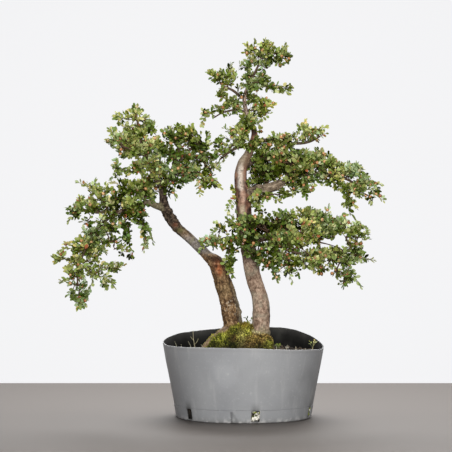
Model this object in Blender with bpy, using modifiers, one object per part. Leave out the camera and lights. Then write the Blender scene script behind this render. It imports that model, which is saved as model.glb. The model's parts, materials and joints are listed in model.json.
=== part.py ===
"""Cotoneaster bonsai, twin-trunk informal style, growing in a cut-down grey plastic container.

Row frame: metres, +Z up, the origin at the centre of the container's underside. The front of the
tree faces -Y and its first right branch reaches towards +X.

Places on the tree are written as (u, v, y): u and v are steps of one ruler across and down the
front view, y is the depth behind the trunks in millimetres. at() turns them into the row frame.
"""

import math

import bmesh
import bpy
from mathutils import Matrix, Vector

# ------------------------------------------------------------------ driving dimensions (metres)
STEP = 0.0018          # one step of the front-view ruler at the trunks
EYE_BACK = 3.15        # the viewpoint that the front view was laid out from
EYE_X, EYE_Z = -0.0315, 0.342

POT_BASE_R = 0.1218    # outer radius of the container at the table
POT_TAPER = 0.194      # outward lean of the wall, metres per metre of height
POT_WALL = 0.0024
POT_FLOOR = 0.0024
BAND_TOP = 0.0225      # height of the moulded foot band
BAND_PROUD = 0.0006
SLOT_W = 0.0145        # drainage slots in the foot band
SLOT_LOW, SLOT_HIGH = 0.0016, 0.0216
SLOT_ANGLES = (-139.5, -80.8, -22, 46, 102, 160)
RIM_SWELLS = ((57, 17, 3.4), (32, 20, 2.0), (114, 14, -1.0))   # angle, width and rise of the trimmed rim
PUMICE_TOP = 0.0230
SOIL_TOP = 0.1170
GAP = 0.0005           # clearance between touching pieces
TURN = 48              # facets round the container


def at(u, v, y_mm=0.0):
    """A place in the front view, at a depth in millimetres, in the row frame."""
    y = y_mm / 1000.0
    k = STEP * (EYE_BACK + y) / EYE_BACK
    return Vector((EYE_X + (u - 226.0) * k, y, EYE_Z - (v - 226.0) * k))


def span(n, y_mm=0.0):
    """A length of n ruler steps at that depth."""
    return n * STEP * (EYE_BACK + y_mm / 1000.0) / EYE_BACK


# ------------------------------------------------------------------ scene and materials
for old in list(bpy.data.objects):
    bpy.data.objects.remove(old, do_unlink=True)

PARTS = bpy.data.collections.new("cotoneaster_bonsai")
TOOLS = bpy.data.collections.new("cutters")
bpy.context.scene.collection.children.link(PARTS)
bpy.context.scene.collection.children.link(TOOLS)


def material(name, colour, roughness, metallic=0.0):
    m = bpy.data.materials.new(name)
    m.use_nodes = True
    b = m.node_tree.nodes["Principled BSDF"]
    b.inputs["Base Color"].default_value = (*colour, 1.0)
    b.inputs["Roughness"].default_value = roughness
    b.inputs["Metallic"].default_value = metallic
    return m


M_POT = material("pot_plastic", (0.33, 0.335, 0.34), 0.55)
M_SOIL = material("potting_soil", (0.035, 0.026, 0.018), 0.95)
M_PUMICE = material("pumice", (0.72, 0.70, 0.62), 0.9)
M_WOOD = material("cotoneaster_bark", (0.26, 0.17, 0.11), 0.85)
M_MOSS = material("moss", (0.12, 0.13, 0.02), 0.95)
M_LEAF = material("cotoneaster_leaf", (0.11, 0.15, 0.035), 0.45)
M_BERRY = material("cotoneaster_berry", (0.62, 0.13, 0.04), 0.35)
M_WEED = material("dry_weed", (0.42, 0.38, 0.24), 0.8)


def hide(obj):
    obj.hide_render = True
    obj.display_type = "WIRE"


def add(name, mesh, mat=None, tool=False):
    obj = bpy.data.objects.new(name, mesh)
    (TOOLS if tool else PARTS).objects.link(obj)
    if mat:
        mesh.materials.append(mat)
    if tool:
        hide(obj)
    return obj


def evaluated_mesh(obj):
    """The object's shape with its modifiers worked out, as a new closed mesh."""
    bpy.context.view_layer.update()
    graph = bpy.context.evaluated_depsgraph_get()
    mesh = bpy.data.meshes.new_from_object(obj.evaluated_get(graph), depsgraph=graph)
    bm = bmesh.new()
    bm.from_mesh(mesh)
    bmesh.ops.remove_doubles(bm, verts=bm.verts, dist=0.00001)
    bmesh.ops.recalc_face_normals(bm, faces=bm.faces)
    bm.to_mesh(mesh)
    bm.free()
    mesh.transform(obj.matrix_world)
    return mesh


def boolean(obj, operation, other):
    b = obj.modifiers.new(operation.lower(), "BOOLEAN")
    b.operation = operation
    b.solver = "EXACT"
    b.object = other
    return b


def settle(obj):
    """Works out an object's modifiers and keeps the result as its mesh."""
    mats = [m for m in obj.data.materials]
    mesh = evaluated_mesh(obj)
    obj.modifiers.clear()
    obj.data = mesh
    obj.matrix_world = Matrix.Identity(4)
    mesh.materials.clear()
    for m in mats:
        mesh.materials.append(m)
    bpy.context.view_layer.update()
    return obj


def keep_largest(obj):
    """Drops the crumbs that a cut leaves beside the main body."""
    bm = bmesh.new()
    bm.from_mesh(obj.data)
    left, bodies = set(bm.verts), []
    while left:
        seed = left.pop()
        body, edge = {seed}, [seed]
        while edge:
            for e in edge.pop().link_edges:
                for w in e.verts:
                    if w in left:
                        left.discard(w)
                        body.add(w)
                        edge.append(w)
        bodies.append(body)
    bodies.sort(key=len, reverse=True)
    crumbs = [w for body in bodies[1:] for w in body]
    bmesh.ops.delete(bm, geom=crumbs, context="VERTS")
    bm.to_mesh(obj.data)
    bm.free()
    return obj


def smooth(obj):
    obj.data.shade_smooth()
    obj.data.set_sharp_from_angle(angle=math.radians(40))


# ------------------------------------------------------------------ the container
def plan(theta):
    """How far the container's thin wall is pushed out of round, as a factor on its radius."""
    return 1.0 + 0.014 * math.cos(4.0 * (theta - math.radians(52)))


def rim_height(theta):
    """The rim was trimmed by hand: low at the front and right, high at the back."""
    steps = 75.3 + 5.4 * math.sin(theta) - 3.3 * math.cos(2 * theta) - 2.0 * math.cos(theta)
    for angle, width, rise in RIM_SWELLS:
        d = (math.degrees(theta) - angle + 180.0) % 360.0 - 180.0
        steps += rise * math.exp(-((d / width) ** 2))
    return steps * STEP


def wall_radius(z):
    return POT_BASE_R + POT_TAPER * z


def turned(name, profile, mat, steps=TURN, tool=False):
    """A turned shape from (radius, height) pairs that run down its outer side."""
    mesh = bpy.data.meshes.new(name)
    bm = bmesh.new()
    verts = [bm.verts.new((r, 0.0, z)) for r, z in profile]
    for a, b in zip(verts, verts[1:]):
        bm.edges.new((a, b))
    bm.to_mesh(mesh)
    bm.free()
    obj = add(name, mesh, mat, tool)
    s = obj.modifiers.new("turn", "SCREW")
    s.axis = "Z"
    s.angle = math.radians(360)
    s.steps = s.render_steps = steps
    s.screw_offset = 0.0
    s.use_merge_vertices = True
    s.merge_threshold = 0.00005
    s.use_smooth_shade = True
    return settle(obj)


top = 0.150
profile = [(wall_radius(z) + (BAND_PROUD if z < BAND_TOP else 0.0), z)
           for z in (top, 0.086, BAND_TOP + 0.0005, BAND_TOP - 0.0005, 0.0016)]
profile += [(POT_BASE_R - 0.0014, 0.0), (0.0, 0.0)]
pot = turned("pot", profile, M_POT)
for vert in pot.data.vertices:
    x, y, z = vert.co
    r = math.hypot(x, y)
    if r < 1e-6:
        continue
    theta = math.atan2(y, x)
    if z > BAND_TOP + 0.001:
        # the wall's rows are spread between the foot band and the trimmed rim
        share = (z - BAND_TOP) / (top - BAND_TOP)
        z = BAND_TOP + 0.0005 + share * (rim_height(theta) - BAND_TOP - 0.0005)
        r = wall_radius(z)
    f = plan(theta) if r > 0.1 else 1.0
    vert.co = (r * f * math.cos(theta), r * f * math.sin(theta), z)
shell = pot.modifiers.new("wall", "SOLIDIFY")
shell.thickness = POT_WALL
shell.offset = -1.0
shell.use_even_offset = True
settle(pot)

slot_tools = []
for i, degrees in enumerate(SLOT_ANGLES):
    bpy.ops.mesh.primitive_cube_add(size=1.0)
    cutter = bpy.context.active_object
    cutter.name = "slot_cutter_%d" % i
    a = math.radians(degrees)
    r = 0.1243
    cutter.data.transform(Matrix.Diagonal((0.022, SLOT_W, SLOT_HIGH - SLOT_LOW, 1.0)))
    cutter.data.transform(Matrix.Translation((r, 0.0, (SLOT_HIGH + SLOT_LOW) / 2)))
    cutter.data.transform(Matrix.Rotation(a, 4, "Z"))
    for c in list(cutter.users_collection):
        c.objects.unlink(cutter)
    TOOLS.objects.link(cutter)
    hide(cutter)
    slot_tools.append(cutter)
for cutter in slot_tools:
    boolean(pot, "DIFFERENCE", cutter)
settle(pot)
smooth(pot)


# ------------------------------------------------------------------ wood
# Each stem is a row of (u, v, y, radius in ruler steps).
LEFT_TRUNK = [
    (240, 376, 0, 9.0), (237, 356, 0, 12.0), (234.8, 338, -1, 11.6), (233.0, 324, -2, 9.6),
    (230.9, 310, -3, 9.6), (228.6, 300, -3, 9.4), (225.4, 290, -2, 9.3), (222.2, 280, -1, 8.7),
    (218.8, 270, 0, 8.1), (214.8, 262, 2, 7.7), (208.1, 256.6, 4, 5.6), (200.7, 249, 6, 5.1),
    (188.0, 236.8, 8, 5.0), (175.9, 226, 8, 5.1), (168.6, 216, 6, 5.0), (164.8, 206.5, 4, 4.6),
    (162.0, 197, 2, 4.0), (158.0, 187, 0, 3.5), (153.5, 177, -2, 3.1), (149.5, 166, -2, 2.7),
    (146.0, 155, 0, 2.3), (142.0, 143, 2, 1.9), (139.0, 130, 4, 1.5), (137.0, 118, 4, 1.1)]
RIGHT_TRUNK = [
    (249, 376, 4, 9.0), (255, 356, 4, 11.0), (259.4, 340, 4, 10.0), (260.7, 328, 4, 9.2),
    (261.4, 317, 4, 9.3), (261.4, 307, 5, 8.8), (259.8, 299, 6, 8.2), (257.2, 289.5, 7, 7.6),
    (254.4, 280, 8, 7.5), (252.0, 270, 9, 8.0), (250.0, 259, 10, 7.9), (247.8, 246, 10, 7.8),
    (246.0, 234, 10, 7.7), (244.8, 222, 10, 7.6), (243.8, 210, 9, 7.6), (243.5, 200, 8, 8.3),
    (242.6, 190, 6, 8.0), (241.3, 180, 5, 7.0), (241.5, 171, 4, 6.4), (243.4, 163, 4, 5.8),
    (248.0, 155, 5, 4.6), (251.2, 148, 6, 4.2), (253.6, 140, 7, 3.7), (254.4, 132, 8, 3.2),
    (251.4, 124, 8, 2.9), (247.4, 115, 7, 2.6), (244.8, 106, 6, 2.3), (244.6, 96, 5, 2.0),
    (247.6, 87, 4, 1.7), (252.6, 77, 3, 1.4), (257.6, 67, 2, 1.1), (262.0, 57, 2, 0.9)]
LIMBS = {
    "left_crown_right": [(160.5, 193, 1, 2.9), (167, 182, 6, 2.5), (174, 170, 12, 2.1),
                         (182, 159, 14, 1.7), (190, 150, 12, 1.3), (196, 143, 8, 1.0)],
    "left_cascade": [(165.5, 208.5, 4, 3.2), (156, 205.6, -4, 2.9), (148, 203.4, -10, 2.7),
                     (138, 205, -18, 2.4), (127, 208.5, -24, 2.2), (115, 214, -28, 2.0),
                     (104, 222, -28, 1.8), (95, 232, -26, 1.6), (88, 244, -22, 1.4),
                     (82, 257, -18, 1.2), (78, 270, -16, 1.1), (77.5, 284, -14, 0.9)],
    "left_outer": [(117, 213, -27, 1.8), (107, 212, -14, 1.6), (97, 212.5, -2, 1.4),
                   (87, 210.5, 6, 1.2), (78, 207, 8, 0.9)],
    "right_first": [(243.5, 194, 6, 4.9), (252, 190.8, 0, 4.4), (261, 189.4, -4, 4.5),
                    (269, 188, -8, 4.9), (276, 185.8, -10, 5.1), (281.6, 183.2, -9, 3.9),
                    (287, 180, -7, 2.8), (296, 176.4, -6, 2.4), (307, 173.6, -2, 2.2), (320, 173, 4, 1.9),
                    (333, 174.6, 10, 1.6), (346, 179, 14, 1.3), (358, 185, 16, 1.0)],
    "right_upper": [(252.4, 143, 7, 3.0), (261, 140.6, 12, 2.6), (272, 140.6, 18, 2.2),
                    (285, 142, 22, 1.9), (298, 143.4, 24, 1.6), (310, 141.6, 22, 1.2),
                    (320, 136.4, 20, 0.9)],
    "right_low": [(247, 242, 4, 4.2), (256, 239.6, -12, 3.6), (268, 238, -24, 3.1),
                  (282, 238, -31, 2.7), (297, 239, -34, 2.3), (312, 241, -32, 1.9),
                  (327, 244, -28, 1.3), (340, 248, -23, 0.9)],
    "low_left_arm": [(247, 240, 4, 2.8), (238, 237.4, -11, 2.3), (229, 237.6, -21, 1.8),
                     (219, 240, -27, 1.4), (210, 243.6, -29, 1.0)],
    "mid_left": [(251, 147.6, 5, 2.6), (243, 146.4, -6, 2.2), (235, 148.6, -13, 1.8),
                 (227, 153.6, -17, 1.3), (220, 159.4, -19, 0.9)],
    "apex_left": [(244.6, 103, 6, 1.9), (238.6, 95, 0, 1.6), (231, 89.4, -4, 1.3),
                  (222, 86, -6, 1.0)],
    "spur_left": [(246, 113.4, 6, 1.6), (238.6, 109.8, 0, 1.3), (230, 110.6, -4, 1.1),
                  (221, 113.4, -6, 0.8), (213, 118.4, -6, 0.7)],
    "low_back": [(249, 252, 12, 3.6), (257, 242, 34, 2.8), (266, 235, 52, 2.2), (277, 232, 64, 1.6),
                 (289, 231, 70, 1.1)],
    "low_front": [(268, 238, -24, 2.5), (278, 246, -46, 1.9), (290, 251, -60, 1.4),
                  (302, 254, -68, 1.0)],
    "low_outer_back": [(297, 239, -34, 2.1), (308, 232, -16, 1.6), (319, 226, 0, 1.2),
                       (330, 222, 10, 0.9)],
    "middle_front": [(285.6, 180.6, -8, 2.2), (292, 171, -17, 1.6), (300, 166, -22, 1.2),
                     (310, 163, -26, 0.8)],
    "upper_back": [(243, 168, 6, 3.6), (254, 161, 26, 2.6), (266, 158, 44, 2.0),
                   (280, 157, 54, 1.5), (293, 157, 58, 1.1)],
    "lobe_back": [(169.4, 178, 8, 2.2), (172, 167, 28, 1.7), (178, 158, 44, 1.3),
                  (186, 152, 52, 0.9)],
    "crown_front": [(147.4, 159, -1, 2.1), (138, 152, -16, 1.5), (127, 148, -28, 1.1),
                    (118, 145, -34, 0.8)],
    "root_left": [(230, 330, -4, 7.0), (221.4, 335.2, -14, 5.6), (212.4, 341.6, -19, 4.6),
                  (203.8, 349.4, -20, 3.6), (195, 362, -18, 2.4)],
    "root_right": [(261, 334, 4, 7.0), (267, 344, 0, 5.6), (275, 356, -4, 3.8),
                   (286, 368, -8, 2.4)],
    "root_front": [(244, 344, -4, 8.0), (246, 356, -34, 5.0), (248, 368, -58, 3.0)],
    "root_back": [(247, 346, 8, 8.0), (243, 358, 38, 5.0), (239, 370, 62, 3.0)],
}


def stem(name, points, grow=0.0, resolution=2, tool=True):
    """A tapering stem as a bevelled curve, closed at both ends, turned into a mesh."""
    curve = bpy.data.curves.new(name, "CURVE")
    curve.dimensions = "3D"
    curve.bevel_depth = 1.0
    curve.bevel_resolution = resolution
    curve.use_fill_caps = True
    spline = curve.splines.new("POLY")
    spline.points.add(len(points) - 1)
    for p, (u, v, y, r) in zip(spline.points, points):
        p.co = (*at(u, v, y), 1.0)
        p.radius = span(r, y) + grow
    guide = bpy.data.objects.new(name + "_curve", curve)
    TOOLS.objects.link(guide)
    mesh = evaluated_mesh(guide)
    bpy.data.objects.remove(guide, do_unlink=True)
    return add(name, mesh, None, tool)


def lengthened(points, more):
    """The stem with its tip drawn out by that many metres, so that a cut of it clears the tip."""
    (u0, v0, y0, _), (u1, v1, y1, r1) = points[-2], points[-1]
    d = math.hypot(u1 - u0, v1 - v0) * STEP
    k = more / max(d, 1e-6)
    return points[:-1] + [(u1 + (u1 - u0) * k, v1 + (v1 - v0) * k, y1 + (y1 - y0) * k, r1)]


wood = stem("tree_wood", LEFT_TRUNK, 0.0, 3, tool=False)
wood.data.materials.append(M_WOOD)
stems = [stem("w_right_trunk", RIGHT_TRUNK, 0.0, 3)]
stems += [stem("w_" + name, pts, 0.0, 2 if pts[0][3] > 4 else 1) for name, pts in LIMBS.items()]
for s in stems:
    boolean(wood, "UNION", s)
settle(wood)
smooth(wood)

# the room that the wood needs inside the soil, moss and foliage
room = stem("wood_room", lengthened(LEFT_TRUNK, 0.0012), GAP, 3)
rooms = [stem("r_right_trunk", lengthened(RIGHT_TRUNK, 0.0012), GAP, 3)]
rooms += [stem("r_" + name, lengthened(pts, 0.0012), GAP, 2 if pts[0][3] > 4 else 1)
          for name, pts in LIMBS.items()]
for s in rooms:
    boolean(room, "UNION", s)
settle(room)
hide(room)


# ------------------------------------------------------------------ soil, drainage layer and moss
def fill(name, low, high, mat, crown=0.0):
    """Loose fill in the container between two heights, following its wall."""
    bpy.ops.mesh.primitive_cone_add(vertices=TURN, radius1=1.0, radius2=1.0, depth=1.0,
                                    end_fill_type="TRIFAN")
    obj = bpy.context.active_object
    obj.name = name
    for c in list(obj.users_collection):
        c.objects.unlink(obj)
    PARTS.objects.link(obj)
    for vert in obj.data.vertices:
        x, y, z = vert.co
        z = low if z < 0 else high
        r = math.hypot(x, y)
        theta = math.atan2(y, x)
        if r > 0.5:
            reach = (wall_radius(z) - POT_WALL) * plan(theta) - 0.0009
            vert.co = (reach * math.cos(theta), reach * math.sin(theta), z)
        else:
            vert.co = (0.0, 0.0, z + (crown if z == high else 0.0))
    obj.data.materials.append(mat)
    return obj


pumice = fill("pumice_drainage_layer", POT_FLOOR + GAP, PUMICE_TOP, M_PUMICE)
soil = fill("soil", PUMICE_TOP + GAP, SOIL_TOP, M_SOIL)
boolean(soil, "DIFFERENCE", room)
settle(soil)


def cushion(name, blobs, voxel, grow=0.0, tool=False, faces=None, mat=None):
    """A soft rounded mass: overlapping ellipsoids (u, v, y, wide, high, deep in mm) fused into one skin."""
    mesh = bpy.data.meshes.new(name)
    bm = bmesh.new()
    for u, v, y, ru, rv, ry in blobs:
        place = (Matrix.Translation(at(u, v, y))
                 @ Matrix.Diagonal((span(ru, y) + grow, ry / 1000.0 + grow, span(rv, y) + grow, 1.0)))
        bmesh.ops.create_icosphere(bm, subdivisions=2, radius=1.0, matrix=place)
    bm.to_mesh(mesh)
    bm.free()
    obj = add(name, mesh, mat, tool)
    skin = obj.modifiers.new("skin", "REMESH")
    skin.mode = "VOXEL"
    skin.voxel_size = voxel
    settle(obj)
    if faces:
        obj.data.calc_loop_triangles()
        thin = obj.modifiers.new("thin", "DECIMATE")
        thin.ratio = min(1.0, faces / len(obj.data.loop_triangles))
        thin.use_collapse_triangulate = True
        settle(obj)
    return obj


moss = cushion("moss_mound", [(238, 352, -4, 34, 24, 52), (240, 340, -8, 17, 16, 30),
                              (224, 346, -10, 16, 13, 34), (259, 344, -8, 13, 11, 28)],
               0.006, faces=340, mat=M_MOSS)
bpy.ops.mesh.primitive_cube_add(size=1.0)
below = bpy.context.active_object
below.name = "below_soil"
below.data.transform(Matrix.Translation((0, 0, -0.5)))
below.data.transform(Matrix.Diagonal((0.5, 0.5, 0.2, 1.0)))
below.data.transform(Matrix.Translation((0, 0, SOIL_TOP + GAP)))
for c in list(below.users_collection):
    c.objects.unlink(below)
TOOLS.objects.link(below)
hide(below)
boolean(moss, "DIFFERENCE", below)
boolean(moss, "DIFFERENCE", room)
settle(moss)


# ------------------------------------------------------------------ foliage and berries
# One node for the leaves that each limb carries: (u, v, y, half width, half height, half depth in mm).
LEAVES = {
    "leaves_left_crown": [(136, 113, 6, 8, 10, 22), (121, 119, -6, 9, 7, 16), (136, 130, 6, 17, 12, 36),
                          (114, 142, -16, 11, 11, 28), (137, 146, -10, 17, 13, 40),
                          (151, 129, 16, 8, 9, 22), (123, 152, 4, 13, 7, 28), (144, 164, 4, 13, 10, 30),
                          (132, 147, 36, 15, 12, 22), (156, 152, -4, 12, 12, 28),
                          (158, 166, -6, 12, 12, 26), (117, 168, -6, 8, 8, 18), (129, 172, -8, 12, 6, 20),
                          (152, 160, -26, 10, 14, 14), (161, 182, -16, 8, 7, 12)],
    "leaves_left_lobe": [(174, 137, 22, 14, 11, 28), (183, 132, 18, 12, 8, 22), (191, 139, 14, 14, 13, 30),
                         (200, 145, 2, 11, 11, 24), (178, 156, 30, 17, 13, 38),
                         (197, 160, 26, 15, 13, 30), (211, 163, 10, 10, 11, 18),
                         (184, 173, 4, 17, 12, 32), (211, 182, 4, 10, 8, 16), (169, 190, -8, 6, 8, 12),
                         (200, 176, 6, 12, 10, 22), (165, 152, 12, 9, 12, 26), (165, 173, 4, 11, 13, 26)],
    "leaves_left_shoulder": [(148, 178, 0, 11, 9, 30), (150, 187, 6, 12, 9, 28), (137, 188, -16, 16, 11, 36),
                             (122, 193, -12, 15, 13, 32), (133, 206, -24, 17, 12, 30),
                             (142, 212, -20, 9, 12, 24), (149, 195, -12, 8, 8, 16),
                             (144, 228, -18, 7, 13, 16), (128, 222, -32, 10, 12, 16),
                             (128, 242, -34, 7, 14, 12), (120, 212, -36, 15, 11, 14),
                             (113, 232, -33, 10, 14, 15), (121, 249, -34, 8, 7, 12),
                             (147, 242, -18, 8, 8, 12)],
    "leaves_left_outer": [(97, 190, 8, 10, 7, 16), (101, 200, 4, 13, 9, 26), (84, 203, 18, 11, 8, 24),
                          (78, 210, 14, 11, 8, 22), (88, 187, 10, 7, 6, 13), (107, 190, -2, 6, 6, 12),
                          (94, 208, -6, 14, 8, 22), (109, 205, -10, 12, 9, 22), (87, 221, -10, 7, 8, 15)],
    "leaves_left_cascade": [(104, 225, -32, 15, 11, 28), (91, 235, -22, 17, 12, 30),
                            (82, 247, -20, 16, 12, 28), (62, 256, -24, 9, 8, 16),
                            (94, 253, -12, 14, 11, 22), (75, 264, -20, 14, 12, 24),
                            (90, 270, -10, 10, 10, 17), (75, 280, -16, 13, 11, 20),
                            (79, 299, -14, 11, 12, 18), (85, 289, -10, 6, 8, 12)],
    "leaves_left_spray": [(101, 272, -12, 8, 12, 14), (112, 268, -14, 11, 7, 15),
                          (109, 283, -13, 9, 8, 12)],
    "leaves_apex": [(274, 56, 2, 15, 13, 28), (264, 48, 2, 9, 10, 18), (284, 56, 0, 8, 12, 19),
                    (250, 49, 0, 7, 7, 12), (257, 58, 0, 8, 8, 14), (264, 67, 2, 11, 9, 20)],
    "leaves_apex_left": [(215, 76, -8, 10, 7, 16), (229, 71, -6, 8, 9, 16), (226, 80, -6, 10, 8, 16),
                         (234, 84, -6, 8, 9, 13)],
    "leaves_apex_middle": [(246, 69, 0, 8, 9, 16), (249, 80, 2, 12, 10, 24), (263, 80, 5, 12, 10, 24),
                           (272, 87, 6, 9, 6, 15), (284, 88, 6, 10, 5, 13), (249, 98, 4, 11, 11, 22),
                           (264, 105, 8, 12, 11, 23), (250, 112, 2, 11, 10, 18),
                           (262, 115, 6, 9, 8, 15), (248, 120, -4, 10, 8, 15), (246, 98, -12, 8, 14, 12)],
    "leaves_spur_left": [(231, 103, -4, 10, 9, 16), (222, 97, -6, 8, 8, 14), (220, 107, -7, 9, 8, 14),
                         (210, 113, -8, 7, 7, 12), (204, 120, -8, 5, 8, 10), (237, 109, -4, 8, 8, 12)],
    "leaves_middle_left": [(246, 127, -6, 11, 10, 22), (238, 136, -12, 14, 12, 26),
                           (230, 149, -16, 13, 9, 19), (219, 149, -16, 8, 8, 12),
                           (246, 141, -14, 11, 10, 18), (254, 146, -10, 9, 7, 13)],
    "leaves_right_upper": [(266, 141, 14, 10, 8, 22), (278, 140, 16, 14, 9, 28), (293, 138, 20, 13, 9, 24),
                           (304, 131, 22, 8, 9, 18), (310, 136, 20, 12, 8, 20), (321, 132, 20, 8, 7, 14),
                           (278, 147, 4, 16, 7, 18), (299, 142, 14, 9, 6, 15)],
    "leaves_right_middle": [(264, 157, 4, 15, 11, 38), (281, 159, 0, 17, 12, 42),
                            (298, 162, -6, 14, 13, 40), (270, 172, 6, 16, 8, 30),
                            (306, 174, -4, 14, 12, 32), (299, 185, -2, 14, 8, 20),
                            (256, 170, 26, 10, 13, 18), (260, 177, 28, 10, 8, 14),
                            (290, 173, -14, 14, 9, 20), (309, 160, 2, 10, 11, 26)],
    "leaves_right_back": [(264, 160, 58, 15, 12, 22), (282, 158, 62, 17, 13, 24),
                          (298, 160, 54, 13, 11, 18)],
    "leaves_right_outer": [(319, 161, 6, 12, 12, 32), (333, 166, 8, 14, 12, 34), (348, 173, 12, 14, 11, 32),
                           (331, 178, 8, 17, 11, 30), (363, 182, 16, 12, 10, 24),
                           (373, 188, 16, 10, 9, 17), (356, 190, 14, 15, 11, 26),
                           (370, 196, 16, 9, 7, 15), (348, 202, 12, 9, 9, 14), (316, 178, -2, 11, 9, 24)],
    "leaves_right_under": [(266, 197, -12, 15, 7, 20), (256, 203, -20, 8, 9, 15), (276, 194, -8, 9, 6, 15),
                           (286, 191, -6, 11, 5, 14), (301, 191, -4, 13, 5, 12)],
    "leaves_low_inner": [(237, 225, -32, 14, 10, 21), (252, 225, -34, 15, 12, 26),
                         (268, 226, -34, 15, 11, 32), (284, 219, -30, 14, 12, 36),
                         (250, 241, -36, 14, 13, 26), (266, 246, -42, 17, 14, 36),
                         (284, 243, -44, 16, 15, 42), (273, 259, -42, 18, 12, 30),
                         (291, 264, -44, 13, 12, 24), (276, 273, -40, 7, 9, 13),
                         (254, 255, -38, 12, 9, 18)],
    "leaves_low_back": [(258, 229, 54, 15, 11, 22), (276, 228, 64, 16, 13, 26),
                        (290, 232, 60, 12, 12, 20)],
    "leaves_low_arm": [(213, 241, -28, 13, 8, 15), (219, 229, -30, 9, 8, 14), (228, 246, -30, 10, 9, 14),
                       (229, 262, -28, 8, 13, 13), (235, 240, -30, 11, 8, 14)],
    "leaves_low_outer": [(306, 214, -26, 13, 11, 34), (322, 218, -20, 14, 11, 34),
                         (339, 224, -16, 14, 11, 28), (353, 233, -18, 10, 10, 18),
                         (312, 235, -36, 16, 15, 44), (330, 232, -28, 14, 12, 36),
                         (317, 257, -38, 19, 13, 38), (340, 261, -26, 16, 13, 30),
                         (352, 276, -20, 11, 10, 18), (363, 258, -18, 11, 7, 13),
                         (354, 245, -20, 10, 9, 18), (323, 271, -32, 11, 8, 20),
                         (301, 243, -42, 10, 15, 30), (343, 280, -20, 6, 8, 11)],
}
# Berries stand on short stalks at the outside of the foliage: (u, v, y) of each berry in a cluster.
BERRIES = {
    "berries_left_crown": [(129, 141, -54), (131.6, 136, -54)],
    "berries_left_lobe": [(180, 172, -32), (176, 169, -31)],
    "berries_left_shoulder": [(136, 186, -58), (133.4, 190, -59)],
    "berries_left_cascade": [(74, 267, -50), (75, 271.4, -50)],
    "berries_apex": [(274, 57, -32), (278, 59, -33)],
    "berries_apex_left": [(215, 77, -30), (218, 74, -30)],
    "berries_right_middle": [(298, 164, -54), (294.6, 161, -55)],
    "berries_right_outer": [(352, 176, -22), (349, 174, -22)],
    "berries_low_inner": [(283, 244, -92), (279.6, 241, -92)],
    "berries_low_outer": [(316, 240, -86), (322, 241, -86)],
}
BERRY_R = 0.0031

berry_rooms = {}


def spray(name, spots, grow):
    """Berries on short stalks that meet at one knot on the twig."""
    middle = sum((at(*s) for s in spots), Vector()) / len(spots)
    knot = middle + Vector((0.0007, 0.0085, 0.0004))
    mesh = bpy.data.meshes.new(name)
    bm = bmesh.new()
    bmesh.ops.create_icosphere(bm, subdivisions=1, radius=0.0015 + grow,
                               matrix=Matrix.Translation(knot))
    bm.to_mesh(mesh)
    bm.free()
    whole = add(name, mesh, None, True)
    for i, spot in enumerate(spots):
        middle = at(*spot)
        way = knot - middle
        turn = way.to_track_quat("Z", "Y").to_matrix().to_4x4()
        for part in ("ball", "stalk"):
            mesh = bpy.data.meshes.new("%s_%s_%d" % (name, part, i))
            bm = bmesh.new()
            if part == "ball":
                bmesh.ops.create_uvsphere(bm, u_segments=7, v_segments=4, radius=BERRY_R + grow,
                                          matrix=Matrix.Translation(middle) @ turn)
            else:
                bmesh.ops.create_cone(bm, cap_ends=True, segments=5, radius1=0.0009 + grow,
                                      radius2=0.0008 + grow, depth=way.length,
                                      matrix=Matrix.Translation(middle + way / 2) @ turn
                                      @ Matrix.Rotation(0.26, 4, "Z"))
            bm.to_mesh(mesh)
            bm.free()
            boolean(whole, "UNION", add(mesh.name, mesh, None, True))
    return settle(whole)


for name, spots in BERRIES.items():
    solid = add(name, spray(name + "_joined", spots, 0.0).data.copy(), M_BERRY)
    smooth(solid)
    berry_rooms[name] = spray(name + "_room", spots, GAP * 1.2)


def box_of(obj):
    pts = [v.co for v in obj.data.vertices]
    return (Vector([min(p[k] for p in pts) for k in range(3)]),
            Vector([max(p[k] for p in pts) for k in range(3)]))


def near(a, b):
    (al, ah), (bl, bh) = a, b
    return all(al[k] < bh[k] and bl[k] < ah[k] for k in range(3))


made = {}
for name, blobs in LEAVES.items():
    size = 100 + 18 * len(blobs)
    pad = cushion(name, blobs, 0.0055, grow=0.0007, faces=size, mat=M_LEAF)
    box = box_of(pad)
    for other, wide in made.items():
        if near(box, box_of(wide)):
            boolean(pad, "DIFFERENCE", wide)
    boolean(pad, "DIFFERENCE", room)
    for gaps in berry_rooms.values():
        if near(box, box_of(gaps)):
            boolean(pad, "DIFFERENCE", gaps)
    settle(pad)
    keep_largest(pad)
    made[name] = cushion(name + "_room", blobs, 0.0055, grow=0.0036, tool=True, faces=size * 4)
    hide(made[name])


# ------------------------------------------------------------------ weeds that came up in the pot
def weed(name, points):
    obj = stem(name, points, 0.0, 1, tool=False)
    obj.data.materials.append(M_WEED)
    smooth(obj)


ground = 226 + (EYE_Z - SOIL_TOP - GAP) / STEP
weed("weed_tall_left", [(195.5, ground - 0.2, 6, 0.5), (194.4, 346, 6, 0.45), (193.2, 338, 6, 0.4),
                        (192.8, 330.5, 6, 0.3)])
weed("weed_right", [(312.4, ground - 0.2, -10, 0.5), (313, 347, -10, 0.45), (313.6, 341, -10, 0.35)])
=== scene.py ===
"""The looks of a twin-trunk cotoneaster bonsai in a cut-down grey plastic pot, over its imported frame.

Places on the tree are (u, v, y): steps of a ruler across and down the front view, and the depth
behind the trunks in millimetres. at() turns them into the row frame, as in the construction.
"""

import json
import math

import bmesh
import bpy
import numpy as np
from mathutils import Matrix, Vector

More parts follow.
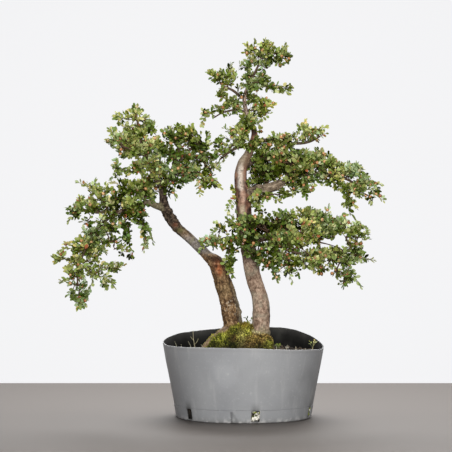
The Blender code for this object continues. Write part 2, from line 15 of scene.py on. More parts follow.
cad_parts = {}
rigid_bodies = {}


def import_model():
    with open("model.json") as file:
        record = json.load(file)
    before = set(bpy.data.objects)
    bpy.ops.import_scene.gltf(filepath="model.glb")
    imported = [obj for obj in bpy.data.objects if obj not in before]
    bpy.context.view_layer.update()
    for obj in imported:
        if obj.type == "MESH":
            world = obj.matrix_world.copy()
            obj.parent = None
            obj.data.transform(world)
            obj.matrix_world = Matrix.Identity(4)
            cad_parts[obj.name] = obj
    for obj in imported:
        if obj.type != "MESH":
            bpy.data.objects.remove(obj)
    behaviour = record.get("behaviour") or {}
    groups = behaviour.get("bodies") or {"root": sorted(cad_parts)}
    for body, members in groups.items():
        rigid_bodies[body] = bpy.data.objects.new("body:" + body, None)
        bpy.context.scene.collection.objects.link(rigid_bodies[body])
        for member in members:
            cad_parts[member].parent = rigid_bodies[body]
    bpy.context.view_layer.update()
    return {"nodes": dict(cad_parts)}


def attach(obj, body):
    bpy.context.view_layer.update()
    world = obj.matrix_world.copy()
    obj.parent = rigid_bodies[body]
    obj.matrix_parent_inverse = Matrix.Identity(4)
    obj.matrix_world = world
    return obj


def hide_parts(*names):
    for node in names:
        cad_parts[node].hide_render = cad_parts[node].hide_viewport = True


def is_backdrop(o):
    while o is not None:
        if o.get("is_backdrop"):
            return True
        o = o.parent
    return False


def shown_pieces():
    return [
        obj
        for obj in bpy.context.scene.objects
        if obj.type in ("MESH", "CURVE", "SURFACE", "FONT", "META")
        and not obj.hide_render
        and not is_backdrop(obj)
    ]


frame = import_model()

STEP, EYE_BACK, EYE_X, EYE_Z = 0.0018, 3.15, -0.0315, 0.342
POT_BASE_R, POT_TAPER, POT_WALL, POT_FLOOR = 0.1218, 0.194, 0.0024, 0.0024
BAND_TOP, SLOT_W, SLOT_LOW, SLOT_HIGH = 0.0225, 0.0145, 0.0016, 0.0216
SLOT_ANGLES = (-139.5, -80.8, -22, 46, 102, 160)
SOIL_TOP = 0.1170


def at(u, v, y_mm=0.0):
    y = y_mm / 1000.0
    k = STEP * (EYE_BACK + y) / EYE_BACK
    return Vector((EYE_X + (u - 226.0) * k, y, EYE_Z - (v - 226.0) * k))


def points(rows):
    """An array of places in the row frame from rows that begin with u, v, y."""
    a = np.array(rows, float)
    y = a[:, 2] / 1000.0
    k = STEP * (EYE_BACK + y) / EYE_BACK
    return np.stack([EYE_X + (a[:, 0] - 226) * k, y, EYE_Z - (a[:, 1] - 226) * k], 1)


def ruler(p):
    """The (u, v) of places in the row frame."""
    k = STEP * (EYE_BACK + p[..., 1]) / EYE_BACK
    return 226 + (p[..., 0] - EYE_X) / k, 226 + (EYE_Z - p[..., 2]) / k


def unit(a):
    return a / np.maximum(np.linalg.norm(a, axis=-1, keepdims=True), 1e-12)


# ================================================================== noise
def lattice(ix, iy, iz, seed):
    h = (ix * 73856093) ^ (iy * 19349663) ^ (iz * 83492791) ^ (seed * 40503)
    h &= 0xFFFFFFFF
    h = ((h ^ (h >> 16)) * 0x45D9F3B) & 0xFFFFFFFF
    h = ((h ^ (h >> 16)) * 0x45D9F3B) & 0xFFFFFFFF
    h ^= h >> 16
    return h / 4294967295.0


def soft(p, seed=0):
    """Smooth noise from -1 to 1."""
    i = np.floor(p).astype(np.int64)
    f = p - i
    f = f * f * (3 - 2 * f)
    out = np.zeros(len(p))
    for dx in (0, 1):
        for dy in (0, 1):
            for dz in (0, 1):
                w = ((f[:, 0] if dx else 1 - f[:, 0]) * (f[:, 1] if dy else 1 - f[:, 1])
                     * (f[:, 2] if dz else 1 - f[:, 2]))
                out += w * lattice(i[:, 0] + dx, i[:, 1] + dy, i[:, 2] + dz, seed)
    return out * 2 - 1


def fbm(p, octaves=3, seed=0):
    total, size, norm = np.zeros(len(p)), 1.0, 0.0
    for k in range(octaves):
        total += size * soft(p * 2 ** k + 17.3 * k, seed + k)
        norm += size
        size *= 0.5
    return total / norm


def cells(p, seed=0):
    """Distances to the nearest and the second nearest scattered point, and the nearest one's number."""
    i = np.floor(p).astype(np.int64)
    f1, f2, who = np.full(len(p), 9.0), np.full(len(p), 9.0), np.zeros(len(p))
    for dx in (-1, 0, 1):
        for dy in (-1, 0, 1):
            for dz in (-1, 0, 1):
                c = i + (dx, dy, dz)
                q = np.stack([lattice(c[:, 0], c[:, 1], c[:, 2], seed + s) for s in (0, 1, 2)], 1) + c
                d = np.linalg.norm(p - q, axis=1)
                near = d < f1
                f2 = np.where(near, f1, np.minimum(f2, d))
                who = np.where(near, lattice(c[:, 0], c[:, 1], c[:, 2], seed + 3), who)
                f1 = np.where(near, d, f1)
    return f1, f2, who


def mixed(a, b, t):
    t = np.clip(t, 0, 1)[..., None]
    return np.asarray(a) * (1 - t) + np.asarray(b) * t


def ramp(stops, t):
    """Colours from (place, colour) stops."""
    xs = [s[0] for s in stops]
    return np.stack([np.interp(t, xs, [s[1][k] for s in stops]) for k in range(3)], 1)


# ================================================================== meshes
def build(name, verts, faces, mat=None, colour=None, face_colour=None, smooth=True, angle=None):
    """An object from arrays: faces is one array of triangles or quads, or a list of such arrays."""
    faces = [np.asarray(f, np.int32) for f in (faces if isinstance(faces, list) else [faces])]
    sizes = np.concatenate([np.full(len(f), f.shape[1], np.int32) for f in faces])
    loops = np.concatenate([f.ravel() for f in faces]).astype(np.int32)
    mesh = bpy.data.meshes.new(name)
    mesh.vertices.add(len(verts))
    mesh.vertices.foreach_set("co", np.asarray(verts, np.float32).ravel())
    mesh.loops.add(len(loops))
    mesh.loops.foreach_set("vertex_index", loops)
    mesh.polygons.add(len(sizes))
    mesh.polygons.foreach_set("loop_start", np.concatenate([[0], np.cumsum(sizes)[:-1]]).astype(np.int32))
    mesh.update(calc_edges=True)
    mesh.validate()
    if colour is not None:
        a = mesh.color_attributes.new("tone", "FLOAT_COLOR", "POINT")
        a.data.foreach_set("color", np.column_stack([colour, np.ones(len(colour))]).astype(np.float32).ravel())
    if face_colour is not None:
        a = mesh.color_attributes.new("tone", "FLOAT_COLOR", "CORNER")
        per = np.repeat(face_colour, sizes, axis=0)
        a.data.foreach_set("color", np.column_stack([per, np.ones(len(per))]).astype(np.float32).ravel())
    if smooth:
        mesh.shade_smooth()
        if angle:
            mesh.set_sharp_from_angle(angle=math.radians(angle))
    obj = bpy.data.objects.new(name, mesh)
    bpy.context.scene.collection.objects.link(obj)
    if mat:
        mesh.materials.append(mat)
    return obj


def piece(obj, slot=None, *nodes):
    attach(obj, "root")
    if nodes:
        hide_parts(*nodes)
    return obj


def even(rows, step):
    """A smooth line through rows (x, y, z, r), with a point about every step metres."""
    a = np.asarray(rows, float)
    a = np.vstack([2 * a[0] - a[1], a, 2 * a[-1] - a[-2]])
    out = []
    for i in range(1, len(a) - 2):
        p0, p1, p2, p3 = a[i - 1], a[i], a[i + 1], a[i + 2]
        n = max(1, int(round(np.linalg.norm(p2[:3] - p1[:3]) / step)))
        for t in np.arange(n) / n:
            out.append(0.5 * (2 * p1 + (p2 - p0) * t + (2 * p0 - 5 * p1 + 4 * p2 - p3) * t * t
                              + (3 * p1 - p0 - 3 * p2 + p3) * t ** 3))
    out.append(a[-2])
    return np.array(out)


def frames(p):
    """Tangents and two side directions along a line, turned as little as possible."""
    t = unit(np.gradient(p, axis=0))
    e = np.zeros_like(t)
    ref = np.array((0.0, -1.0, 0.0)) if abs(t[0][1]) < 0.9 else np.array((1.0, 0.0, 0.0))
    for i in range(len(t)):
        ref = ref - t[i] * (ref @ t[i])
        ref = ref / max(np.linalg.norm(ref), 1e-9)
        e[i] = ref
    return t, e, np.cross(t, e)


def tube(p, r, sides):
    """A closed tapering tube along p: vertices, and triangles only."""
    t, e, f = frames(p)
    phi = np.arange(sides) * (2 * math.pi / sides)
    ring = (p[:, None] + r[:, None, None] * (np.cos(phi)[None, :, None] * e[:, None]
                                             + np.sin(phi)[None, :, None] * f[:, None]))
    n = len(p)
    verts = np.vstack([ring.reshape(-1, 3), p[:1] - t[:1] * r[0] * 0.3, p[-1:] + t[-1:] * r[-1] * 0.8])
    i = (np.arange(n - 1)[:, None] * sides + np.arange(sides)[None]).ravel()
    j = (np.arange(n - 1)[:, None] * sides + (np.arange(sides)[None] + 1) % sides).ravel()
    tris = [np.stack([i, j, j + sides], 1), np.stack([i, j + sides, i + sides], 1)]
    a = np.arange(sides)
    b = (a + 1) % sides
    tris.append(np.stack([b, a, np.full(sides, n * sides)], 1))
    last = (n - 1) * sides
    tris.append(np.stack([last + a, last + b, np.full(sides, n * sides + 1)], 1))
    return verts, np.vstack(tris)


class Heap:
    """Gathers many small shapes into one mesh."""

    def __init__(self):
        self.v, self.f, self.c, self.n = [], [], [], 0

    def add(self, verts, tris, colour):
        self.v.append(verts)
        self.f.append(tris + self.n)
        c = np.asarray(colour, float)
        self.c.append(np.broadcast_to(c, (len(verts), 3)) if c.ndim == 1 else c)
        self.n += len(verts)

    def obj(self, name, mat, **kw):
        return build(name, np.vstack(self.v), np.vstack(self.f), mat, colour=np.vstack(self.c), **kw)

    def count(self):
        return sum(len(f) for f in self.f)


# ================================================================== materials
def nodes_of(name, rough, spec=0.5, coat=0.0, coat_rough=0.1):
    m = bpy.data.materials.new(name)
    m.use_nodes = True
    nt = m.node_tree
    b = nt.nodes["Principled BSDF"]
    b.inputs["Roughness"].default_value = rough
    b.inputs["Specular IOR Level"].default_value = spec
    b.inputs["Coat Weight"].default_value = coat
    b.inputs["Coat Roughness"].default_value = coat_rough
    return m, nt, b


def link(nt, a, b):
    nt.links.new(a, b)


def tex_noise(nt, scale, detail=4.0, rough=0.55, coords=None, distortion=0.0):
    n = nt.nodes.new("ShaderNodeTexNoise")
    n.inputs["Scale"].default_value = scale
    n.inputs["Detail"].default_value = detail
    n.inputs["Roughness"].default_value = rough
    n.inputs["Distortion"].default_value = distortion
    if coords is not None:
        link(nt, coords, n.inputs["Vector"])
    return n


def remap(nt, value, a, b, c, d):
    n = nt.nodes.new("ShaderNodeMapRange")
    n.inputs["From Min"].default_value = a
    n.inputs["From Max"].default_value = b
    n.inputs["To Min"].default_value = c
    n.inputs["To Max"].default_value = d
    link(nt, value, n.inputs["Value"])
    return n.outputs["Result"]


def blend(nt, mode, factor, a, b):
    """A mix of two colours. factor, a and b are each a socket or a plain value."""
    n = nt.nodes.new("ShaderNodeMix")
    n.data_type = "RGBA"
    n.blend_type = mode
    for value, key in ((factor, 0), (a, 6), (b, 7)):
        if hasattr(value, "node"):
            link(nt, value, n.inputs[key])
        elif key == 0:
            n.inputs[key].default_value = value
        else:
            n.inputs[key].default_value = (*value, 1.0)
    return n.outputs[2]


def bump(nt, bsdf, height, strength, distance):
    n = nt.nodes.new("ShaderNodeBump")
    n.inputs["Strength"].default_value = strength
    n.inputs["Distance"].default_value = distance
    link(nt, height, n.inputs["Height"])
    link(nt, n.outputs["Normal"], bsdf.inputs["Normal"])


def object_coords(nt, scale=(1, 1, 1)):
    c = nt.nodes.new("ShaderNodeTexCoord")
    if scale == (1, 1, 1):
        return c.outputs["Object"]
    m = nt.nodes.new("ShaderNodeMapping")
    m.inputs["Scale"].default_value = scale
    link(nt, c.outputs["Object"], m.inputs["Vector"])
    return m.outputs["Vector"]


def toned(name, rough, spec, grain, low, high, bump_scale, bump_size, rough_to=None, bump_strength=0.5,
          coat=0.0):
    """A surface whose colour is painted on the mesh and broken up by fine noise."""
    m, nt, b = nodes_of(name, rough, spec, coat)
    tone = nt.nodes.new("ShaderNodeAttribute")
    tone.attribute_name = "tone"
    where = object_coords(nt)
    n = tex_noise(nt, grain, 5.0, 0.6, where)
    v = remap(nt, n.outputs["Fac"], 0.3, 0.7, low, high)
    grey = nt.nodes.new("ShaderNodeCombineColor")
    for k in range(3):
        link(nt, v, grey.inputs[k])
    link(nt, blend(nt, "MULTIPLY", 1.0, tone.outputs["Color"], grey.outputs[0]), b.inputs["Base Color"])
    fine = tex_noise(nt, bump_scale, 4.0, 0.6, where)
    bump(nt, b, fine.outputs["Fac"], bump_strength, bump_size)
    if rough_to is not None:
        link(nt, remap(nt, n.outputs["Fac"], 0.3, 0.7, rough, rough_to), b.inputs["Roughness"])
    return m


M_BARK = toned("bark", 0.80, 0.18, 520, 0.70, 1.30, 900, 0.0006, 0.92, 0.6)
M_TWIG = toned("twig_bark", 0.7, 0.12, 700, 0.75, 1.25, 1500, 0.0003, 0.75)
M_LEAF = toned("leaf", 0.50, 0.03, 380, 0.88, 1.12, 800, 0.0002, 0.64, 0.30)
M_BERRY = toned("berry", 0.28, 0.5, 420, 0.88, 1.12, 900, 0.0001, 0.4, 0.2)
M_MOSS = toned("moss", 0.85, 0.25, 600, 0.7, 1.3, 1300, 0.0006, 0.95)
M_SOIL = toned("soil", 0.9, 0.25, 400, 0.6, 1.4, 900, 0.0008, 0.98)
M_STONE = toned("pumice", 0.85, 0.3, 600, 0.85, 1.12, 1400, 0.0006, 0.95)
M_WEED = toned("weed", 0.65, 0.35, 500, 0.85, 1.15, 900, 0.0002, 0.8)
M_INSIDE = toned("pot_inside", 0.62, 0.14, 60, 0.7, 1.3, 500, 0.0004, 0.8, 0.3)


def pot_material():
    """Grey moulded plastic that has stood outside: broad cloudy patches, fine dust, run-down dirt and scuffs."""
    m, nt, b = nodes_of("pot_plastic", 0.46, 0.45)
    tone = nt.nodes.new("ShaderNodeAttribute")
    tone.attribute_name = "tone"
    where = object_coords(nt)
    cloud = tex_noise(nt, 9, 5.0, 0.55, where, 0.4)
    c = blend(nt, "MULTIPLY", 1.0, tone.outputs["Color"],
              blend(nt, "MIX", remap(nt, cloud.outputs["Fac"], 0.3, 0.7, 0, 1), (0.86, 0.865, 0.88), (1.10, 1.10, 1.09)))
    drips = tex_noise(nt, 1.0, 4.0, 0.5, object_coords(nt, (70, 70, 5)))
    c = blend(nt, "MIX", remap(nt, drips.outputs["Fac"], 0.56, 0.74, 0.0, 0.20), c, (0.47, 0.47, 0.465))
    speck = tex_noise(nt, 420, 3.0, 0.7, where)
    c = blend(nt, "MIX", remap(nt, speck.outputs["Fac"], 0.60, 0.72, 0.0, 0.22), c, (0.13, 0.13, 0.125))
    dust = tex_noise(nt, 160, 5.0, 0.7, where)
    c = blend(nt, "MIX", remap(nt, dust.outputs["Fac"], 0.57, 0.75, 0.0, 0.25), c, (0.52, 0.52, 0.52))
    link(nt, c, b.inputs["Base Color"])
    link(nt, remap(nt, cloud.outputs["Fac"], 0.3, 0.7, 0.42, 0.56), b.inputs["Roughness"])
    rib = tex_noise(nt, 1.0, 3.0, 0.5, object_coords(nt, (30, 30, 900)))
    h = nt.nodes.new("ShaderNodeMath")
    h.operation = "ADD"
    link(nt, rib.outputs["Fac"], h.inputs[0])
    link(nt, dust.outputs["Fac"], h.inputs[1])
    bump(nt, b, h.outputs[0], 0.18, 0.0006)
    return m


# ================================================================== camera and stage
cam = bpy.data.cameras.new("camera")
cam.sensor_width = 36.0
cam.lens = 36.0 / (2 * 226 * STEP / EYE_BACK)
eye = bpy.data.objects.new("camera", cam)
bpy.context.scene.collection.objects.link(eye)
eye.location = (EYE_X, -EYE_BACK, EYE_Z)
eye.rotation_euler = (math.radians(90), 0, 0)
bpy.context.scene.camera = eye
bpy.context.scene.view_settings.view_transform = "Standard"
bpy.context.scene.view_settings.look = "None"

world = bpy.data.worlds.new("studio")
bpy.context.scene.world = world
world.use_nodes = True
sky = world.node_tree.nodes["Background"]
sky.inputs["Color"].default_value = (0.985, 0.985, 1.0, 1.0)
# a large soft screen behind, a dimmer one in front, and a greyer room at the sides
heading = world.node_tree.nodes.new("ShaderNodeTexCoord")
axes = world.node_tree.nodes.new("ShaderNodeSeparateXYZ")
world.node_tree.links.new(heading.outputs["Generated"], axes.inputs[0])


def world_math(operation, first, second):
    node = world.node_tree.nodes.new("ShaderNodeMath")
    node.operation = operation
    for socket, value in zip(node.inputs, (first, second)):
        if isinstance(value, (int, float)):
            socket.default_value = value
        else:
            world.node_tree.links.new(value, socket)
    return node.outputs[0]


behind = world_math("POWER", world_math("MAXIMUM", axes.outputs["Y"], 0.0), 1.5)
facing = world_math("POWER", world_math("MAXIMUM", world_math("MULTIPLY", axes.outputs["Y"], -1.0), 0.0), 1.5)
glow = world_math("ADD", world_math("MULTIPLY", behind, 0.83), world_math("MULTIPLY", facing, 0.42))
world.node_tree.links.new(world_math("ADD", glow, 0.10), sky.inputs["Strength"])

m_floor, nt_floor, b_floor = nodes_of("floor", 0.6, 0.3)
b_floor.inputs["Base Color"].default_value = (0.146, 0.127, 0.114, 1.0)
floor = build("floor", [(-2.2, -1.6, 0), (2.2, -1.6, 0), (2.2, 0.66, 0), (-2.2, 0.66, 0),
                        (-2.2, -1.6, -0.03), (2.2, -1.6, -0.03), (2.2, 0.66, -0.03), (-2.2, 0.66, -0.03)],
              np.array([(0, 1, 2, 3), (7, 6, 5, 4), (0, 4, 5, 1), (1, 5, 6, 2), (2, 6, 7, 3), (3, 7, 4, 0)]),
              m_floor, smooth=False)
floor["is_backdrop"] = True


def lamp(name, place, target, size, watts, colour=(1, 1, 1)):
    d = bpy.data.lights.new(name, "AREA")
    d.shape = "RECTANGLE"
    d.size, d.size_y = size
    d.energy = watts
    d.color = colour
    o = bpy.data.objects.new(name, d)
    bpy.context.scene.collection.objects.link(o)
    o.location = place
    o.rotation_euler = (Vector(target) - Vector(place)).to_track_quat("-Z", "Y").to_euler()
    return o


lamp("key", (0.06, -4.0, 1.00), (0, 0, 0.32), (1.4, 1.4), 178, (1.0, 0.985, 0.955))
lamp("top", (0.1, 0.15, 2.2), (0, 0, 0.35), (1.5, 1.2), 24, (1.0, 0.99, 0.97))
lamp("back", (0.10, 1.55, 1.75), (0, 0, 0.25), (2.0, 0.9), 54, (1.0, 1.0, 1.0))

# ================================================================== the pot
PLAN_TURN = math.radians(52)
RIM_SWELLS = ((57, 17, 3.4), (32, 20, 2.0), (114, 14, -1.0))   # angle, width, rise of the trimmed rim


def plan(theta):
    return 1.0 + 0.014 * np.cos(4.0 * (theta - PLAN_TURN))


def rim_height(theta):
    steps = 75.3 + 5.4 * np.sin(theta) - 3.3 * np.cos(2 * theta) - 2.0 * np.cos(theta)
    for angle, width, rise in RIM_SWELLS:
        d = (np.degrees(theta) - angle + 180.0) % 360.0 - 180.0
        steps = steps + rise * np.exp(-((d / width) ** 2))
    return steps * STEP


def make_pot():
    turn = 400
    th = np.arange(turn) * (2 * math.pi / turn) - math.pi
    ring = np.stack([np.cos(th), np.sin(th), np.zeros(turn)], 1)
    # the knife wandered a little when the rim was trimmed
    wander = (0.0006 * soft(ring * 5.0, 4) + 0.0003 * soft(ring * 22.0, 5))
    rim = rim_height(th) + np.minimum(wander, 0.0004)

    def belly(theta, z):
        p = np.stack([np.cos(theta) * 0.9, np.sin(theta) * 0.9, z * 12], 1)
        near_rim = np.clip((z - 0.06) / 0.08, 0, 1)
        return 0.0011 * soft(p * 1.7, 11) * near_rim + 0.0004 * soft(p * 5, 12)

    outer, inner = [], []
    lows = [0.0, 0.0003, 0.0010, 0.0020, 0.0040]
    lows += list(np.linspace(0.006, BAND_TOP - 0.0012, 9)) + [BAND_TOP - 0.0005, BAND_TOP, BAND_TOP + 0.0005, BAND_TOP + 0.0012]
    tuck = {0.0: 0.0020, 0.0003: 0.0011, 0.0010: 0.0004, 0.0020: 0.0}
    for z in lows:
        zz = np.full(turn, z)
        proud = 0.0007 if z < BAND_TOP - 0.0001 else 0.0
        groove = 0.0004 if abs(z - BAND_TOP) < 0.0001 else 0.0
        r = POT_BASE_R + POT_TAPER * zz + proud - groove - tuck.get(z, 0.0) + belly(th, zz) * 0.5
        # a knock at the front that pushed a wedge of the foot band in
        a = (np.degrees(th) + 90 + 180) % 360 - 180
        far_side = -9.9 + 5.2 * np.clip((0.0195 - z) / 0.0165, 0, 1)
        wedge = np.clip((far_side - a) / 0.5, 0, 1) * np.clip((a + 10.9) / 0.9, 0, 1) * (z < 0.0195)
        r = r - 0.0026 * wedge * np.clip((-3.4 - a) / 7, 0.3, 1)
        outer.append(np.stack([r * plan(th) * np.cos(th), r * plan(th) * np.sin(th), zz], 1))
    shares = np.concatenate([np.linspace(0.02, 0.96, 26), [0.985, 0.996]])
    for s in shares:
        z = BAND_TOP + 0.0012 + s * (rim - BAND_TOP - 0.0012)
        r = POT_BASE_R + POT_TAPER * z + belly(th, z)
        outer.append(np.stack([r * plan(th) * np.cos(th), r * plan(th) * np.sin(th), z], 1))
    r = POT_BASE_R + POT_TAPER * rim + belly(th, rim)
    for back, down in ((0.0003, 0.0), (0.0008, -0.0003), (0.0017, -0.0003), (0.0022, 0.0)):
        rr = (r - back) * plan(th)
        outer.append(np.stack([rr * np.cos(th), rr * np.sin(th), rim - down - 0.0002], 1))
    for s in list(np.linspace(0.98, 0.0, 16)):
        z = POT_FLOOR + 0.0008 + s * (rim - 0.0012 - POT_FLOOR)
        r = POT_BASE_R + POT_TAPER * z + belly(th, z) - POT_WALL
        inner.append(np.stack([r * plan(th) * np.cos(th), r * plan(th) * np.sin(th), z], 1))
    r = (POT_BASE_R - 0.0036) * plan(th)
    inner.append(np.stack([r * np.cos(th), r * np.sin(th), np.full(turn, POT_FLOOR)], 1))
    rows = outer + inner
    verts = np.vstack(rows + [np.array([[0, 0, POT_FLOOR], [0, 0, 0.0006]])])
    n = len(rows)
    i = (np.arange(n - 1)[:, None] * turn + np.arange(turn)[None]).ravel()
    j = (np.arange(n - 1)[:, None] * turn + (np.arange(turn)[None] + 1) % turn).ravel()
    quads = np.stack([i, j, j + turn, i + turn], 1)
    a = np.arange(turn)
    b = (a + 1) % turn
    top, under = n * turn, n * turn + 1
    last = (n - 1) * turn
    caps = np.vstack([np.stack([last + a, last + b, np.full(turn, top)], 1),
                      np.stack([b, a, np.full(turn, under)], 1)])
    obj = build("pot_shell", verts, [quads, caps])
    # the drainage slots go right through the foot band
    tools = []
    for k, degrees in enumerate(SLOT_ANGLES):
        bm = bmesh.new()
        bmesh.ops.create_cube(bm, size=1.0)
        wide, tall = SLOT_W * (1 + 0.04 * math.sin(k * 2.1)), SLOT_HIGH - SLOT_LOW
        bmesh.ops.scale(bm, vec=(0.024, wide, tall), verts=bm.verts)
        bmesh.ops.bevel(bm, geom=[e for e in bm.edges if abs(e.verts[0].co.x - e.verts[1].co.x) > 0.01],
                        offset=0.0012, segments=3, affect="EDGES", profile=0.5)
        bmesh.ops.translate(bm, vec=(0.1235, 0, (SLOT_LOW + SLOT_HIGH) / 2), verts=bm.verts)
        bmesh.ops.rotate(bm, cent=(0, 0, 0), matrix=Matrix.Rotation(math.radians(degrees), 3, "Z"), verts=bm.verts)
        mesh = bpy.data.meshes.new("slot_%d" % k)
        bm.to_mesh(mesh)
        bm.free()
        cutter = bpy.data.objects.new("slot_%d" % k, mesh)
        bpy.context.scene.collection.objects.link(cutter)
        tools.append(cutter)
        mod = obj.modifiers.new("slot_%d" % k, "BOOLEAN")
        mod.operation, mod.solver, mod.object = "DIFFERENCE", "EXACT", cutter
    graph = bpy.context.evaluated_depsgraph_get()
    mesh = bpy.data.meshes.new_from_object(obj.evaluated_get(graph), depsgraph=graph)
    obj.modifiers.clear()
    obj.data = mesh
    for t in tools:
        bpy.data.objects.remove(t, do_unlink=True)
    # paint: paler cut edge, dirt and painted shade over the slots, scuffs at the foot, dark stained inside
    co = np.empty(len(mesh.vertices) * 3, np.float32)
    mesh.vertices.foreach_get("co", co)
    co = co.reshape(-1, 3).astype(float)
    r = np.hypot(co[:, 0], co[:, 1])
    theta = np.arctan2(co[:, 1], co[:, 0])
    rim_here = rim_height(theta)
    out_r = (POT_BASE_R + POT_TAPER * co[:, 2]) * plan(theta)
    inside = (out_r - r > 0.0019) & (co[:, 2] > 0.002)
    tone = np.tile([0.266, 0.273, 0.286], (len(co), 1))
    # the wall is painted darker towards its foot, and weathering leaves broad cloudy marks
    front_u = 226 + (co[:, 0] - EYE_X) / STEP
    front_v = 226 - (co[:, 2] - EYE_Z) / STEP
    wet = soft(co * 38, 95) * 6
    rubbed = np.exp(-(((front_u - 221 + wet) / 11) ** 4 + ((front_v - 368) / 15) ** 4)) * (co[:, 1] < 0)
    tone *= (0.965 + 0.13 * rubbed)[:, None]
    stained = np.exp(-(((front_u - 304 + wet) / 15) ** 4 + ((front_v - 384) / 24) ** 4)) * (co[:, 1] < 0)
    tone *= (1 - 0.22 * stained * np.clip(0.75 + 0.9 * fbm(co * 45, 3, 96), 0, 1.3))[:, None]
    stained = np.exp(-(((front_u - 180 + wet) / 14) ** 4 + ((front_v - 392) / 26) ** 4)) * (co[:, 1] < 0)
    tone *= (1 - 0.05 * stained * np.clip(0.75 + 0.9 * fbm(co * 45, 3, 97), 0, 1.3))[:, None]
    shade = np.clip(co[:, 2] / 0.12, 0, 1)
    tone *= (0.93 + 0.09 * shade)[:, None]
    edge = np.clip(1 - (rim_here - co[:, 2]) / 0.0016, 0, 1) * ~inside
    tone = mixed(tone, (0.37, 0.37, 0.37), edge * 0.6)
    under = np.clip(1 - np.abs(rim_here - 0.0042 - co[:, 2]) / 0.0022, 0, 1) * ~inside
    tone = mixed(tone, (0.23, 0.23, 0.235), under * 0.45)
    # the line at the top of the foot band is painted darker: painted shade in the crease
    line = np.clip(1 - np.abs(co[:, 2] - BAND_TOP) / 0.0011, 0, 1) * ~inside
    tone = mixed(tone, (0.22, 0.22, 0.225), line * 0.35)
    for k, degrees in enumerate(SLOT_ANGLES):
        a = (np.degrees(theta) - degrees + 180) % 360 - 180
        side = np.abs(np.radians(a)) * r
        rise = co[:, 2] - SLOT_HIGH
        # over and above each slot the wall is painted dark: partly dirt, partly painted shade of a dent above the slot
        slot_dirt_and_shade = np.clip(1 - np.maximum(side - 0.004, 0) / 0.006, 0, 1) * np.clip(1 - rise / 0.015, 0, 1) * (rise > -0.02)
        tone = mixed(tone, (0.060, 0.060, 0.058), slot_dirt_and_shade * (0.78 if k in (0, 3) else 0.60) * (~inside))
        lip = np.clip(1 - np.abs(side - SLOT_W / 2) / 0.0012, 0, 1) * (co[:, 2] < SLOT_HIGH + 0.001)
        tone = mixed(tone, (0.46, 0.46, 0.45), lip * (0.1 if k in (0, 2) else 0.5) * ~inside)
    scuff = fbm(co * 150, 3, 31)
    foot = np.clip(1 - co[:, 2] / 0.009, 0, 1) * np.clip((scuff - 0.02) * 6, 0, 1)
    tone = mixed(tone, (0.50, 0.49, 0.48), foot * 0.75 * ~inside)
    dirt = np.clip(1 - co[:, 2] / 0.010, 0, 1) * np.clip((0.15 - scuff) * 4, 0, 1)
    tone = mixed(tone, (0.15, 0.145, 0.13), dirt * 0.45 * ~inside)
    a = (np.degrees(theta) + 90 + 180) % 360 - 180
    far_side = -9.9 + 5.2 * np.clip((0.0195 - co[:, 2]) / 0.0165, 0, 1)
    # the knocked-in wedge is painted darker and its deep edge darker still: painted shade in the recess and on its edge
    wedge_painted_shade = (a < far_side + 0.2) & (a > -10.9) & (co[:, 2] < 0.0198) & ~inside
    tone[wedge_painted_shade] *= 0.84
    tone[wedge_painted_shade & (a < -9.7)] *= 0.74
    nick = np.exp(-(((a - 2.9) / 0.45) ** 2 + ((co[:, 2] - 0.0355) / 0.0009) ** 2))
    tone = mixed(tone, (0.10, 0.10, 0.10), nick * 0.6 * ~inside)
    tone = np.where(inside[:, None], mixed(np.tile([0.005, 0.005, 0.0045], (len(co), 1)), (0.020, 0.020, 0.018),
                                           np.clip(fbm(co * 60, 3, 8) * 1.5, 0, 1)), tone)
    # a band inside below the rim is painted lighter: painted light on the inner wall
    dry = inside * np.clip(1 - (rim_here - co[:, 2]) / 0.016, 0, 1)
    tone = mixed(tone, (0.062, 0.061, 0.058), dry * 0.55)
    a = mesh.color_attributes.new("tone", "FLOAT_COLOR", "POINT")
    a.data.foreach_set("color", np.column_stack([tone, np.ones(len(tone))]).astype(np.float32).ravel())
    mesh.materials.clear()
    mesh.materials.append(pot_material())
    mesh.materials.append(M_INSIDE)
    for face in mesh.polygons:
        face.material_index = 1 if all(inside[k] for k in face.vertices) else 0
    mesh.shade_smooth()
    mesh.set_sharp_from_angle(angle=math.radians(38))
    return piece(obj, "pot_plastic", "pot")


make_pot()


# ================================================================== soil and drainage grains
def pebble_template(sub=1):
    bm = bmesh.new()
    bmesh.ops.create_icosphere(bm, subdivisions=sub, radius=1.0)
    v = np.array([w.co[:] for w in bm.verts])
    f = np.array([[w.index for w in t.verts] for t in bm.faces])
    bm.free()
    return v, f


def random_turns(rng, n):
    q = unit(rng.normal(size=(n, 4)))
    w, x, y, z = q.T
    return np.stack([np.stack([1 - 2 * (y * y + z * z), 2 * (x * y - z * w), 2 * (x * z + y * w)], 1),
                     np.stack([2 * (x * y + z * w), 1 - 2 * (x * x + z * z), 2 * (y * z - x * w)], 1),
                     np.stack([2 * (x * z - y * w), 2 * (y * z + x * w), 1 - 2 * (x * x + y * y)], 1)], 1)


def pebbles(heap, rng, where, sizes, colours, sub=1, rough=0.22):
    """Scattered grains, each an uneven knobbly stone."""
    v, f = pebble_template(sub)
    n = len(where)
    lumps = 1 + rough * rng.uniform(-1, 1, (n, len(v)))
    scale = sizes[:, None] * rng.uniform(0.7, 1.15, (n, 3))
    p = v[None] * lumps[..., None] * scale[:, None]
    p = np.einsum("nij,nvj->nvi", random_turns(rng, n), p) + where[:, None]
    verts = p.reshape(-1, 3)
    faces = (f[None] + (np.arange(n) * len(v))[:, None, None]).reshape(-1, 3)
    heap.add(verts, faces, np.repeat(colours, len(v), axis=0))


